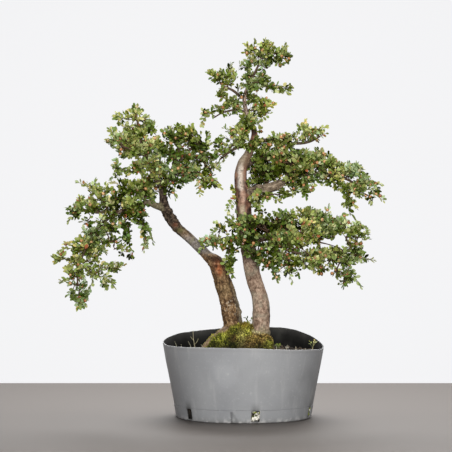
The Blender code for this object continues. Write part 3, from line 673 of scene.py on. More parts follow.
def make_soil():
    rng = np.random.default_rng(5)
    turn, rings = 180, 40
    th = np.arange(turn) * (2 * math.pi / turn)
    rows = []
    reach = (POT_BASE_R + POT_TAPER * SOIL_TOP - POT_WALL) * plan(th) - 0.0007
    for k in range(1, rings + 1):
        r = reach * (k / rings)
        p = np.stack([r * np.cos(th), r * np.sin(th), np.zeros(turn)], 1)
        z = SOIL_TOP - 0.0022 + 0.0022 * fbm(p * 45, 3, 2) + 0.0012 * fbm(p * 160, 2, 3)
        rows.append(np.stack([p[:, 0], p[:, 1], z], 1))
    low = (POT_BASE_R + POT_TAPER * 0.024 - POT_WALL) * plan(th) - 0.0007
    rows.append(np.stack([low * np.cos(th), low * np.sin(th), np.full(turn, 0.0240)], 1))
    verts = np.vstack(rows + [np.array([[0, 0, SOIL_TOP - 0.002], [0, 0, 0.0240]])])
    n = len(rows)
    i = (np.arange(n - 1)[:, None] * turn + np.arange(turn)[None]).ravel()
    j = (np.arange(n - 1)[:, None] * turn + (np.arange(turn)[None] + 1) % turn).ravel()
    quads = np.stack([i, i + turn, j + turn, j], 1)
    a, b = np.arange(turn), (np.arange(turn) + 1) % turn
    caps = np.vstack([np.stack([a, b, np.full(turn, n * turn)], 1),
                      np.stack([(n - 1) * turn + b, (n - 1) * turn + a, np.full(turn, n * turn + 1)], 1)])
    tone = ramp([(-1, (0.012, 0.010, 0.008)), (0, (0.030, 0.023, 0.016)), (1, (0.060, 0.045, 0.030))],
                fbm(verts * 120, 3, 9) * 2)
    obj = build("potting_soil", verts, [quads, caps], M_SOIL, colour=tone)
    piece(obj, "soil", "soil")

    heap = Heap()
    n = 1900
    r = np.sqrt(rng.uniform(0.03, 1.0, n))
    t = rng.uniform(-math.pi, math.pi, n)
    limit = (POT_BASE_R + POT_TAPER * SOIL_TOP - POT_WALL) * plan(t) - 0.0035
    where = np.stack([r * limit * np.cos(t), r * limit * np.sin(t), np.zeros(n)], 1)
    where[:, 2] = SOIL_TOP - 0.0018 + 0.0022 * fbm(where * 45, 3, 2) + rng.uniform(-0.0006, 0.0012, n)
    sizes = rng.uniform(0.0010, 0.0028, n)
    pick = rng.uniform(size=n)
    tone = ramp([(0, (0.012, 0.010, 0.008)), (0.45, (0.035, 0.026, 0.018)), (0.75, (0.085, 0.060, 0.038)),
                 (0.90, (0.14, 0.115, 0.085)), (0.96, (0.30, 0.28, 0.24)), (1, (0.42, 0.40, 0.35))], pick)
    pebbles(heap, rng, where, sizes, tone, 1)
    obj = heap.obj("soil_grains", M_SOIL, smooth=False)
    piece(obj, "soil", "soil")


def make_pumice():
    rng = np.random.default_rng(6)
    turn = 96
    th = np.arange(turn) * (2 * math.pi / turn)
    rows = []
    for z, inset in ((0.0032, 0.0085), (0.0035, 0.0062), (0.0215, 0.0062), (0.0222, 0.0085)):
        r = (POT_BASE_R + POT_TAPER * z) * plan(th) - inset
        rows.append(np.stack([r * np.cos(th), r * np.sin(th), np.full(turn, z)], 1))
    verts = np.vstack(rows + [np.array([[0, 0, 0.0032], [0, 0, 0.0222]])])
    n = len(rows)
    i = (np.arange(n - 1)[:, None] * turn + np.arange(turn)[None]).ravel()
    j = (np.arange(n - 1)[:, None] * turn + (np.arange(turn)[None] + 1) % turn).ravel()
    a, b = np.arange(turn), (np.arange(turn) + 1) % turn
    faces = [np.stack([i, j, j + turn, i + turn], 1),
             np.vstack([np.stack([b, a, np.full(turn, n * turn)], 1),
                        np.stack([(n - 1) * turn + a, (n - 1) * turn + b, np.full(turn, n * turn + 1)], 1)])]
    heap = Heap()
    heap_dark = build("drainage_core", verts, faces, M_SOIL,
                      colour=ramp([(-1, (0.010, 0.009, 0.007)), (1, (0.05, 0.04, 0.03))], fbm(verts * 90, 2, 3) * 2))
    piece(heap_dark, "pumice", "pumice_drainage_layer")
    for k, degrees in enumerate(SLOT_ANGLES):
        n = 9 if k in (0, 3) else 34
        a = math.radians(degrees) + rng.uniform(-1, 1, n) * (SLOT_W / 2 + 0.001) / 0.118
        z = rng.uniform(0.0045, 0.0205, n) if n > 10 else rng.uniform(0.0045, 0.0075, n)
        r = 0.1178 - rng.uniform(0.0005, 0.0045, n) + POT_TAPER * z
        where = np.stack([r * np.cos(a), r * np.sin(a), z], 1)
        sizes = rng.uniform(0.0016, 0.0031, n)
        sizes = np.minimum(sizes, z - 0.0027)
        pick = rng.uniform(size=n)
        tone = ramp([(0, (0.42, 0.40, 0.34)), (0.5, (0.66, 0.64, 0.56)), (1, (0.82, 0.80, 0.73))], pick)
        green = pick < (0.30 if k == 1 else 0.96 if k == 2 else 0.25)
        tone[green] = ramp([(0, (0.05, 0.06, 0.015)), (1, (0.22, 0.24, 0.05))], rng.uniform(size=green.sum()) * (1.0 if k != 2 else 0.5) + (0.0 if k != 2 else 0.5))
        # the grains behind slots 0 and 3 are painted nearly black: painted shade in those slots
        if k in (0, 3):
            tone *= 0.06
        if k == 2:
            r += 0.0030
            where = np.stack([r * np.cos(a), r * np.sin(a), z], 1)
        pebbles(heap, rng, where, sizes, tone, 2, 0.10)
    obj = heap.obj("pumice_grains", M_STONE, smooth=True)
    piece(obj, "pumice", "pumice_drainage_layer")


make_soil()
make_pumice()

# ================================================================== wood
LEFT_TRUNK = [
    (240, 376, 0, 9.0), (237, 356, 0, 12.0), (234.8, 338, -1, 11.6), (233.0, 324, -2, 9.6),
    (230.9, 310, -3, 9.6), (228.6, 300, -3, 9.4), (225.4, 290, -2, 9.3), (222.2, 280, -1, 8.7),
    (218.8, 270, 0, 8.1), (214.8, 262, 2, 7.7), (208.1, 256.6, 4, 5.6), (200.7, 249, 6, 5.1),
    (188.0, 236.8, 8, 5.0), (175.9, 226, 8, 5.1), (168.6, 216, 6, 5.0), (164.8, 206.5, 4, 4.6),
    (163.2, 197, 2, 3.9), (161.0, 187, 0, 3.4), (155.0, 177, -2, 3.1), (149.5, 166, -2, 2.7),
    (146.0, 155, 0, 2.3), (142.0, 143, 2, 1.9), (139.0, 130, 4, 1.5), (137.0, 118, 4, 1.1)]
RIGHT_TRUNK = [
    (249, 376, 4, 9.0), (255, 356, 4, 11.0), (259.4, 340, 4, 10.0), (260.7, 328, 4, 9.2),
    (261.4, 317, 4, 9.3), (261.4, 307, 5, 8.8), (259.8, 299, 6, 8.2), (257.2, 289.5, 7, 7.6),
    (254.4, 280, 8, 7.5), (252.0, 270, 9, 8.0), (250.0, 259, 10, 7.9), (247.8, 246, 10, 7.8),
    (246.0, 234, 10, 7.7), (244.8, 222, 10, 7.6), (243.8, 210, 9, 7.6), (243.5, 200, 8, 8.3),
    (242.4, 190, 6, 7.8), (240.5, 180, 5, 6.7), (240.9, 171, 4, 6.2), (243.4, 163, 4, 5.8),
    (248.0, 155, 5, 4.6), (251.2, 148, 6, 4.2), (253.6, 140, 7, 3.7), (254.4, 132, 8, 3.2),
    (251.4, 124, 8, 2.9), (247.4, 115, 7, 2.6), (244.8, 106, 6, 2.3), (244.6, 96, 5, 2.0),
    (247.6, 87, 4, 1.7), (252.6, 77, 3, 1.4), (257.6, 67, 2, 1.1), (262.0, 57, 2, 0.9)]
LIMBS = {
    "left_crown_right": [(160.5, 193, 1, 2.9), (167, 182, 6, 2.5), (174, 170, 12, 2.1),
                         (182, 159, 14, 1.7), (190, 150, 12, 1.3), (196, 143, 8, 1.0)],
    "left_cascade": [(165.5, 209.0, 4, 3.7), (156, 205.8, -4, 3.4), (148, 202.6, -10, 3.2),
                     (138, 205, -18, 2.4), (127, 208.5, -24, 2.2), (115, 214, -28, 2.0),
                     (104, 222, -28, 1.8), (95, 232, -26, 1.6), (88, 244, -22, 1.4),
                     (82, 257, -18, 1.2), (78, 270, -16, 1.1), (77.5, 284, -14, 0.9)],
    "left_outer": [(117, 213, -27, 1.8), (107, 212, -14, 1.6), (97, 212.5, -2, 1.4),
                   (87, 210.5, 6, 1.2), (78, 207, 8, 0.9)],
    "right_first": [(243.5, 194, 6, 4.9), (252, 190.8, 0, 4.4), (261, 189.4, -4, 4.5),
                    (269, 188, -8, 4.9), (276, 185.8, -10, 5.1), (281.6, 183.2, -9, 3.9),
                    (287, 180, -7, 2.8), (296, 176.4, -6, 2.4), (307, 173.6, -2, 2.2), (320, 173, 4, 1.9),
                    (333, 174.6, 10, 1.6), (346, 179, 14, 1.3), (358, 185, 16, 1.0)],
    "right_upper": [(252.4, 143, 7, 3.0), (261, 140.6, 12, 2.6), (272, 140.6, 18, 2.2),
                    (285, 142, 22, 1.9), (298, 143.4, 24, 1.6), (310, 141.6, 22, 1.2),
                    (320, 136.4, 20, 0.9)],
    "right_low": [(247, 242, 4, 4.2), (256, 239.6, -12, 3.6), (268, 238, -24, 3.1),
                  (282, 238, -31, 2.7), (297, 239, -34, 2.3), (312, 241, -32, 1.4),
                  (327, 244, -28, 0.6), (340, 248, -23, 0.45)],
    "low_left_arm": [(247, 240, 4, 2.8), (238, 237.4, -11, 2.3), (229, 237.6, -21, 1.8),
                     (219, 240, -27, 1.4), (210, 243.6, -29, 1.0)],
    "mid_left": [(251, 147.6, 5, 2.6), (243, 146.4, -6, 2.2), (235, 148.6, -13, 1.8),
                 (227, 153.6, -17, 1.3), (220, 159.4, -19, 0.9)],
    "apex_left": [(244.6, 103, 6, 1.9), (238.6, 95, 0, 1.6), (231, 89.4, -4, 1.3),
                  (222, 86, -6, 1.0)],
    "spur_left": [(246, 113.4, 6, 1.6), (238.6, 109.8, 0, 1.3), (230, 110.6, -4, 1.1),
                  (221, 113.4, -6, 0.8), (213, 118.4, -6, 0.7)],
    "low_back": [(249, 252, 12, 3.6), (257, 242, 34, 2.8), (266, 235, 52, 2.2), (277, 232, 64, 1.6),
                 (289, 231, 70, 1.1)],
    "low_front": [(268, 238, -24, 2.5), (278, 246, -46, 1.9), (290, 251, -60, 1.4),
                  (302, 254, -68, 1.0)],
    "low_outer_back": [(297, 239, -34, 2.1), (308, 232, -16, 1.6), (319, 226, 0, 1.2),
                       (330, 222, 10, 0.9)],
    "middle_front": [(285.6, 180.6, -8, 2.2), (292, 171, -17, 1.6), (300, 166, -22, 1.2),
                     (310, 163, -26, 0.8)],
    "upper_back": [(243, 168, 6, 3.6), (254, 161, 26, 2.6), (266, 158, 44, 2.0),
                   (280, 157, 54, 1.5), (293, 157, 58, 1.1)],
    "lobe_back": [(169.4, 178, 8, 2.2), (172, 167, 28, 1.7), (178, 158, 44, 1.3),
                  (186, 152, 52, 0.9)],
    "crown_front": [(147.4, 159, -1, 2.1), (138, 152, -16, 1.5), (127, 148, -28, 1.1),
                    (118, 145, -34, 0.8)],
    "root_left": [(230, 330, -4, 7.0), (221.4, 335.2, -14, 5.6), (212.4, 341.6, -19, 4.6),
                  (203.8, 349.4, -20, 3.6), (195, 362, -18, 2.4)],
    "root_right": [(261, 334, 4, 7.0), (267, 344, 0, 5.6), (275, 356, -4, 3.8),
                   (286, 368, -8, 2.4)],
    "root_front": [(244, 344, -4, 8.0), (246, 356, -34, 5.0), (248, 368, -58, 3.0)],
    "root_back": [(247, 346, 8, 8.0), (243, 358, 38, 5.0), (239, 370, 62, 3.0)],
}


def line_of(rows, step):
    """Places and radii along a stem, in metres."""
    p = points(rows)
    r = np.array([row[3] for row in rows]) * STEP * (1 + p[:, 1] / EYE_BACK)
    return even(np.column_stack([p, r]), step)


STEMS = {"left_trunk": line_of(LEFT_TRUNK, 0.003), "right_trunk": line_of(RIGHT_TRUNK, 0.003)}
STEMS.update({name: line_of(rows, 0.003) for name, rows in LIMBS.items()})
THICK = ["left_trunk", "right_trunk", "right_first", "right_low", "left_cascade", "left_crown_right",
         "right_upper", "low_left_arm", "mid_left", "low_back", "upper_back", "middle_front", "low_front",
         "root_left", "root_right", "root_front", "root_back"]


def make_wood():
    base = Heap()
    for name in THICK:
        line = STEMS[name]
        keep = line[:, 3] > 0.0024
        keep[:3] = True
        line = line[: max(3, int(np.argmin(keep)) if not keep.all() else len(line))]
        v, f = tube(line[:, :3], line[:, 3], 24 if line[0, 3] > 0.012 else 14)
        base.add(v, f, (0, 0, 0))
    # burrs and branch collars: (u, v, y, radius in steps)
    v0, f0 = pebble_template(3)
    for u, v, y, r in ((217.2, 262.4, -4, 5.2), (219.6, 264.2, -2, 5.0), (238.8, 311.6, 0, 3.4), (212.4, 261.2, -6, 4.7),
                       (169.6, 211.5, -3, 3.9), (173.6, 217.6, 0, 3.8), (176.0, 222.5, 2, 3.9), (163.6, 203, -3, 3.9),
                       (248.6, 192.4, 5, 5.8), (252.4, 191.2, 1, 4.9), (258.4, 189.2, -3, 5.1), (266.4, 188.8, -8, 5.3), (275.5, 186.2, -10, 5.3),
                       (279.4, 184.4, -10, 4.7), (242.0, 165, 3, 5.2), (252.4, 143.4, 6, 4.2), (246.4, 243, 5, 7.4),
                       (232.4, 328, -5, 8.8), (238.6, 330, -6, 8.4), (261.6, 333, 2, 9.0)):
        c = np.array(at(u, v, y))
        base.add(v0 * (r * STEP) + c, f0, (0, 0, 0))
    obj = base.obj("trunks_and_limbs", None)
    mod = obj.modifiers.new("skin", "REMESH")
    mod.mode, mod.voxel_size = "VOXEL", 0.00162
    graph = bpy.context.evaluated_depsgraph_get()
    mesh = bpy.data.meshes.new_from_object(obj.evaluated_get(graph), depsgraph=graph)
    obj.modifiers.clear()
    obj.data = mesh
    bm = bmesh.new()
    bm.from_mesh(mesh)
    gone = [w for w in bm.verts if w.co.z < 0.105]
    for _ in range(5):
        bmesh.ops.smooth_vert(bm, verts=bm.verts, factor=0.5, use_axis_x=True, use_axis_y=True, use_axis_z=True)
    bm.normal_update()
    bmesh.ops.triangulate(bm, faces=bm.faces)
    co = np.array([w.co[:] for w in bm.verts])
    no = np.array([w.normal[:] for w in bm.verts])
    faces = np.array([[w.index for w in t.verts] for t in bm.faces])
    bm.free()

    # where each vertex is on its stem: length along, side directions, which stem
    rows = []
    for k, name in enumerate(THICK):
        line = STEMS[name]
        t, e, f = frames(line[:, :3])
        s = np.concatenate([[0], np.cumsum(np.linalg.norm(np.diff(line[:, :3], axis=0), axis=1))])
        rows.append(np.column_stack([line, t, e, f, s, np.full(len(line), k)]))
    rows = np.vstack(rows)
    own = np.empty(len(co), int)
    for a in range(0, len(co), 4000):
        d = np.linalg.norm(co[a:a + 4000, None] - rows[None, :, :3], axis=2) - rows[None, :, 3]
        own[a:a + 4000] = d.argmin(1)
    w = rows[own]
    off = co - w[:, :3]
    along = w[:, 13] + np.einsum("ij,ij->i", off, w[:, 4:7])
    cx, cy = np.einsum("ij,ij->i", off, w[:, 7:10]), np.einsum("ij,ij->i", off, w[:, 10:13])
    rad = np.maximum(np.hypot(cx, cy), 1e-5)
    stem = w[:, 14]
    u, v = ruler(co)
    r_here = w[:, 3]
    q = np.stack([cx / rad * np.maximum(r_here, 0.004), cy / rad * np.maximum(r_here, 0.004), along], 1)

    rough = np.where(stem == 0, 1.0, 0.50)                     # the left trunk's bark is the older looking
    rough = np.where((stem == 0) & (v < 232), 1.7, rough)
    rough = np.where((stem == 0) & (v > 234) & (v < 256), 0.45, rough)
    rough = np.where((stem == 1) & (v < 215), 0.32, rough)
    rough = np.where(stem > 1, 0.6, rough)
    size = np.clip(r_here / 0.014, 0.25, 1.0)

    lump = fbm(co * 42, 2, 1)
    wobble = np.stack([soft(co * 170, 21), soft(co * 170, 22), soft(co * 170, 23)], 1)
    f1, f2, who = cells(q / np.array([0.0044, 0.0044, 0.0078]) + 0.55 * wobble, 7)
    crack = np.clip((f2 - f1) / 0.30, 0, 1)
    g1, g2, bit = cells(q / np.array([0.0023, 0.0023, 0.0034]) + 0.30 * wobble, 17)
    flake = np.clip((g2 - g1) / 0.35, 0, 1)
    grain = fbm(q / np.array([0.0015, 0.0015, 0.0050]), 2, 27)
    cross = fbm(q / np.array([0.0050, 0.0050, 0.0018]), 3, 37)   # fine rings across smooth bark
    mottle = fbm(co * 330, 3, 47)
    ridge = fbm(q / np.array([0.0040, 0.0040, 0.0300]), 2, 67)   # long ridges up the old bark
    broad = fbm(co * 62, 2, 68)
    height = size * (0.00150 * lump
                     + rough * (0.00095 * (crack - 0.75) + 0.00085 * (who - 0.5) + 0.00034 * (flake - 0.7)
                                + 0.00042 * (bit - 0.5) + 0.00030 * grain + 0.00045 * ridge)
                     + (1 - np.clip(rough, 0, 1)) * 0.00028 * cross)

    # the old wound below the left trunk's elbow, with a hole beside it
    front = (co[:, 1] < 0.004) & (stem == 0)
    wound = np.exp(-(((u - (218.9 + (v - 268) * 0.15)) / 3.2) ** 2 + ((v - 268.6) / 6.6) ** 2) ** 1.5) * front
    around = np.exp(-(((u - 217.8) / 5.8) ** 2 + ((v - 266.0) / 11.0) ** 2) ** 1.6) * front
    hole = np.exp(-(((u - 216.2) / 1.1) ** 2 + ((v - 266.0) / 1.5) ** 2)) * front
    height -= 0.0012 * wound + 0.0022 * hole
    height += 0.0006 * around * (1 - wound)
    # a long dark crack down the front of the left trunk
    split_u = np.interp(v, [276, 283, 290, 295, 303, 311, 319, 326], [228, 230, 231.6, 233, 235.4, 236.9, 238.1, 239]) + 0.5 * np.sin(v / 2.3)
    split = np.exp(-((u - split_u) / 0.80) ** 2) * np.clip((v - 276) / 8, 0, 1) * front
    height -= 0.0014 * split
    height = np.where(v > 336, height * 0.6, height)
    co = co + no * height[:, None]

    # colours
    cav = np.clip(0.64 * crack + 0.32 * flake + 0.38 * grain + 0.30 * mottle + 0.00, 0, 1)
    streak = fbm(q / np.array([0.0026, 0.0026, 0.0200]), 3, 57)
    brown = ramp([(0, (0.014, 0.008, 0.005)), (0.25, (0.064, 0.036, 0.019)), (0.5, (0.158, 0.098, 0.052)),
                  (0.75, (0.275, 0.188, 0.110)), (1, (0.47, 0.365, 0.245))],
                 np.clip(0.540 + 0.38 * (crack - 0.8) + 0.22 * (flake - 0.75) + 0.20 * (who - 0.5) + 0.16 * (bit - 0.5)
                         + 0.20 * grain + 0.30 * mottle + 0.16 * streak + 0.12 * ridge + 0.28 * broad, 0, 1))
    spots = np.clip(0.43 + 0.16 * (crack - 0.8) + 0.12 * (bit - 0.5) + 0.10 * (who - 0.5) + 0.20 * grain
                    + 0.22 * cross + 0.34 * mottle + 0.26 * broad, 0, 1)
    grey = ramp([(0, (0.055, 0.034, 0.026)), (0.3, (0.170, 0.118, 0.090)), (0.6, (0.345, 0.262, 0.212)),
                 (1, (0.58, 0.48, 0.41))], spots)
    tone = np.where((stem == 0)[:, None], brown, grey)
    # left trunk above the elbow: smooth blue-grey, then rough bark painted nearly black under the crown, as painted
    # shade of the crown
    smooth_part = np.clip(1.6 - np.abs(v - 245) / 8.0, 0, 1) * (stem == 0)
    patch = np.clip(0.5 + 1.1 * fbm(co * 120, 3, 53), 0, 1)
    tone = mixed(tone, mixed(ramp([(0, (0.070, 0.056, 0.048)), (1, (0.34, 0.315, 0.30))], np.clip(0.42 + 0.45 * cross + 0.35 * grain + 0.3 * mottle, 0, 1)),
                             (0.15, 0.16, 0.07), np.clip(patch * 2 - 1.25, 0, 1) * 0.7), smooth_part * 0.92)
    # painted shade of the crown: the trunk under it is painted nearly black
    crown_painted_shade = np.clip((235.5 - v + 2.5 * np.sin(u / 2.0)) / 5, 0, 1) * (stem == 0) * np.clip((v - 172) / 10, 0, 1)
    tone = mixed(tone, ramp([(0, (0.006, 0.004, 0.003)), (0.6, (0.040, 0.028, 0.020)), (1, (0.12, 0.088, 0.062))], cav), crown_painted_shade * 0.94)
    rust = np.exp(-(((u - 175.4) / 2.4) ** 2 + ((v - 224.8) / 2.0) ** 2)) * (stem == 0)
    tone = mixed(tone, (0.20, 0.07, 0.035), rust * 0.6)
    olive = np.exp(-(((u - 180.5) / 3.2) ** 2 + ((v - 230.2) / 2.4) ** 2)) * (stem == 0)
    tone = mixed(tone, (0.15, 0.14, 0.045), olive * 0.6)
    tone = mixed(tone, ramp([(0, (0.035, 0.016, 0.009)), (1, (0.155, 0.070, 0.038))], cav), np.clip(around - wound, 0, 1) * 0.85)
    elbow = np.exp(-(((u - 216.6) / 6.6) ** 2 + ((v - 259.4) / 3.3) ** 2) ** 1.5) * (stem == 0)
    tone = mixed(tone, ramp([(0, (0.014, 0.008, 0.005)), (1, (0.060, 0.030, 0.018))], cav), np.clip(elbow * 1.3, 0, 1) * 0.96)
    tone = mixed(tone, ramp([(0, (0.13, 0.044, 0.020)), (1, (0.47, 0.180, 0.085))], np.clip(0.45 + 0.8 * fbm(co * 420, 2, 3), 0, 1)), np.clip(wound * 1.3, 0, 1) * 0.92)
    for pu, pv in ((214.5, 263.6), (218.2, 263.8), (217.0, 271.5)):
        pale = np.exp(-(((u - pu) / 0.8) ** 2 + ((v - pv) / 0.9) ** 2)) * front
        tone = mixed(tone, (0.52, 0.33, 0.22), pale * 0.75)
    # the hole is painted nearly black: painted shade inside it
    tone = mixed(tone, (0.012, 0.006, 0.004), np.clip(hole * 1.3, 0, 1) * 0.95)
    tone = np.where(((stem == 0) & (v > 254))[:, None], tone * np.array([0.97, 0.90, 0.79]), tone)
    mossed = np.exp(-((v - 286) / 10) ** 2) * np.clip(0.5 + 1.6 * broad, 0, 1) * (stem == 0)
    tone = mixed(tone, (0.150, 0.122, 0.058), mossed * 0.30)
    # the crack is painted nearly black: painted shade inside it
    tone = mixed(tone, (0.018, 0.010, 0.007), np.clip(split * 1.15, 0, 1) * 0.8)
    # pale crusts of lichen on the lower left trunk
    crust = np.clip((fbm(co * 330, 3, 61) - 0.22) * 7, 0, 1) * np.exp(-((v - 307) / 8) ** 2) * np.clip((u - 222) / 4, 0, 1) * (u < 237) * (stem == 0)
    tone = mixed(tone, (0.50, 0.42, 0.31), crust * 0.75)
    flank_u = np.interp(v, [280, 290, 300, 312, 325], [234.5, 236.5, 238.6, 241.2, 243.0])
    side_green = np.exp(-((u - flank_u + 0.6) / 2.2) ** 2) * np.clip((v - 276) / 12, 0, 1) * (stem == 0)
    tone = mixed(tone, ramp([(0, (0.10, 0.085, 0.055)), (1, (0.40, 0.38, 0.29))], np.clip(0.5 + 1.2 * mottle, 0, 1)), side_green * 0.60)
    # right trunk: pink-grey below with a brown patch high on its left, silvery above with red-brown flanks; the pale
    # front strip is partly painted highlight, the darker flanks and right side partly painted edge shade
    rt = stem == 1
    pink = np.clip((v - 258) / 10, 0, 1) * rt
    tone = mixed(tone, tone * np.array([1.14, 1.07, 0.97]), pink * 0.85)
    brown_patch = np.clip(0.5 + 1.5 * fbm(co * 75, 2, 72), 0, 1) * np.exp(-((v - 274) / 12) ** 2) * np.clip((251 - u) / 5, 0, 1) * rt
    tone = mixed(tone, (0.24, 0.145, 0.090), brown_patch * 0.5)
    film = np.clip(fbm(co * 60, 2, 71) * 2.2, 0, 1) * pink
    tone = mixed(tone, (0.30, 0.285, 0.215), film * 0.5)
    silver = np.clip((224 - v) / 10, 0, 1) * rt
    high_up = np.clip((v - 161) / 7, 0, 1) * (1 - 0.12 * np.clip((v - 189) / 5, 0, 1))
    centre_u = np.interp(v, [150, 160, 171, 180, 187, 192, 200, 206, 212, 225],
                         [247.0, 243.4, 240.6, 240.4, 240.6, 242.2, 242.4, 241.8, 242.0, 243.4])
    centre_u = centre_u + 0.9 * soft(co * 90, 76) + 0.5 * soft(co * 260, 77)
    wide = np.interp(v, [150, 165, 176, 187, 192, 200, 206, 214], [2.2, 2.9, 3.4, 3.2, 2.6, 2.7, 3.3, 3.2])
    silver_strip_and_highlight = np.exp(-(np.abs((u - centre_u) / wide)) ** 3) * (co[:, 1] < 0.02)
    shade = np.clip(0.56 + 0.34 * cross + 0.42 * mottle + 0.12 * (bit - 0.5), 0, 1)
    white = ramp([(0, (0.28, 0.20, 0.15)), (0.45, (0.52, 0.47, 0.42)), (1, (0.72, 0.70, 0.65))], shade)
    # the strip is painted darker towards its right: painted shade
    white = mixed(white, white * np.array([0.98, 0.84, 0.72]), np.clip(0.5 + (u - centre_u) / wide * 0.6, 0, 1))
    rosy = ramp([(0, (0.25, 0.130, 0.085)), (1, (0.60, 0.40, 0.30))], shade)
    sandy = ramp([(0, (0.22, 0.17, 0.10)), (1, (0.58, 0.50, 0.36))], shade)
    white = mixed(white, rosy, np.clip((v - 189) / 3, 0, 1))
    white = mixed(white, sandy, np.clip((v - 203) / 4, 0, 1) * 0.8)
    # a pale strip down the trunk's front: silvery bark with painted highlight
    tone = mixed(tone, white, silver * silver_strip_and_highlight * high_up * 0.94)
    red_flank_and_edge_shade = silver * (1 - silver_strip_and_highlight) * np.where(u < centre_u, np.clip((v - 168) / 5, 0.35, 1), 1)
    drab = silver * (1 - np.clip((v - 161) / 7, 0, 1)) * np.clip((v - 140) / 8, 0, 1)
    red = np.clip(0.42 + fbm(q / np.array([0.004, 0.004, 0.009]), 3, 81) * 1.7, 0, 1)
    # red-brown flanks: red-brown bark with painted shade at the trunk's edges
    tone = mixed(tone, ramp([(0, (0.022, 0.009, 0.007)), (0.5, (0.105, 0.042, 0.025)), (1, (0.27, 0.140, 0.088))], red), red_flank_and_edge_shade * 0.88)
    tone = mixed(tone, ramp([(0, (0.090, 0.060, 0.038)), (1, (0.40, 0.33, 0.24))], shade), drab * 0.88)
    # darker towards the right of the strip: painted shade
    right_side_painted_shade = drab * np.clip((u - centre_u - 0.6) / 2.4, 0, 1)
    tone = mixed(tone, ramp([(0, (0.045, 0.026, 0.016)), (1, (0.21, 0.130, 0.078))], shade), right_side_painted_shade * 0.85)
    for pu, pv, pw, ph in ((240.4, 182.8, 0.8, 0.9), (241.6, 186.3, 0.8, 0.7), (241.8, 170.5, 1.8, 0.5), (244.6, 168.4, 0.9, 0.6),
                           (239.4, 177.6, 0.6, 0.5), (242.0, 197.4, 0.8, 0.6), (240.6, 203.4, 1.6, 0.5)):
        knot = np.exp(-(((u - pu) / pw) ** 2 + ((v - pv) / ph) ** 2)) * rt * (co[:, 1] < 0)
        tone = mixed(tone, (0.045, 0.030, 0.020), knot * 0.8)
    # limbs
    lb = (stem > 1) & (stem < THICK.index("root_left"))
    stub = stem == THICK.index("right_first")
    tone = mixed(tone, tone * np.array([0.86, 0.80, 0.72]), (lb & ~stub) * 0.9)
    tone = mixed(tone, ramp([(0, (0.040, 0.028, 0.018)), (0.55, (0.215, 0.165, 0.110)), (1, (0.44, 0.37, 0.28))], np.clip(spots + 0.55 * streak + 0.1 * grain + 0.2 * (who - 0.5), 0, 1)), stub * 0.9)
    # the limbs inside the foliage are painted darker: painted shade of the leaves around them
    inner = lb & ~stub
    tone = mixed(tone, (0.050, 0.036, 0.026), inner * 0.6)
    mossy = (stem == THICK.index("left_cascade")) & (u > 145)
    tone = mixed(tone, ramp([(0, (0.045, 0.040, 0.020)), (1, (0.20, 0.175, 0.105))], np.clip(0.5 + mottle, 0, 1)), mossy * 0.85)
    # earth and moss film where the wood meets the mound
    low = np.clip((v - 327 + 5 * fbm(co * 90, 2, 91)) / 9, 0, 1)
    tone = mixed(tone, ramp([(0, (0.10, 0.095, 0.03)), (1, (0.23, 0.17, 0.10))], np.clip(0.5 + fbm(co * 240, 2, 92), 0, 1)), low * 0.75)
    bare = (stem == THICK.index("root_left")) & (v < 347)
    tone = mixed(tone, ramp([(0, (0.095, 0.060, 0.036)), (1, (0.34, 0.235, 0.150))], np.clip(0.5 + mottle + 0.5 * grain, 0, 1)), bare * 0.8)
    keep = (co[faces][:, :, 2] > 0.1175).any(1)
    used = np.unique(faces[keep])
    index = np.full(len(co), -1)
    index[used] = np.arange(len(used))
    # the roots go on down inside the soil, closed off below its surface
    obj2 = build("tree_trunks_and_limbs", co, faces, M_BARK, colour=np.clip(tone, 0, 1))
    bpy.data.objects.remove(obj, do_unlink=True)
    return piece(obj2, "bark", "tree_wood")


wood = make_wood()
print("wood", len(wood.data.polygons))


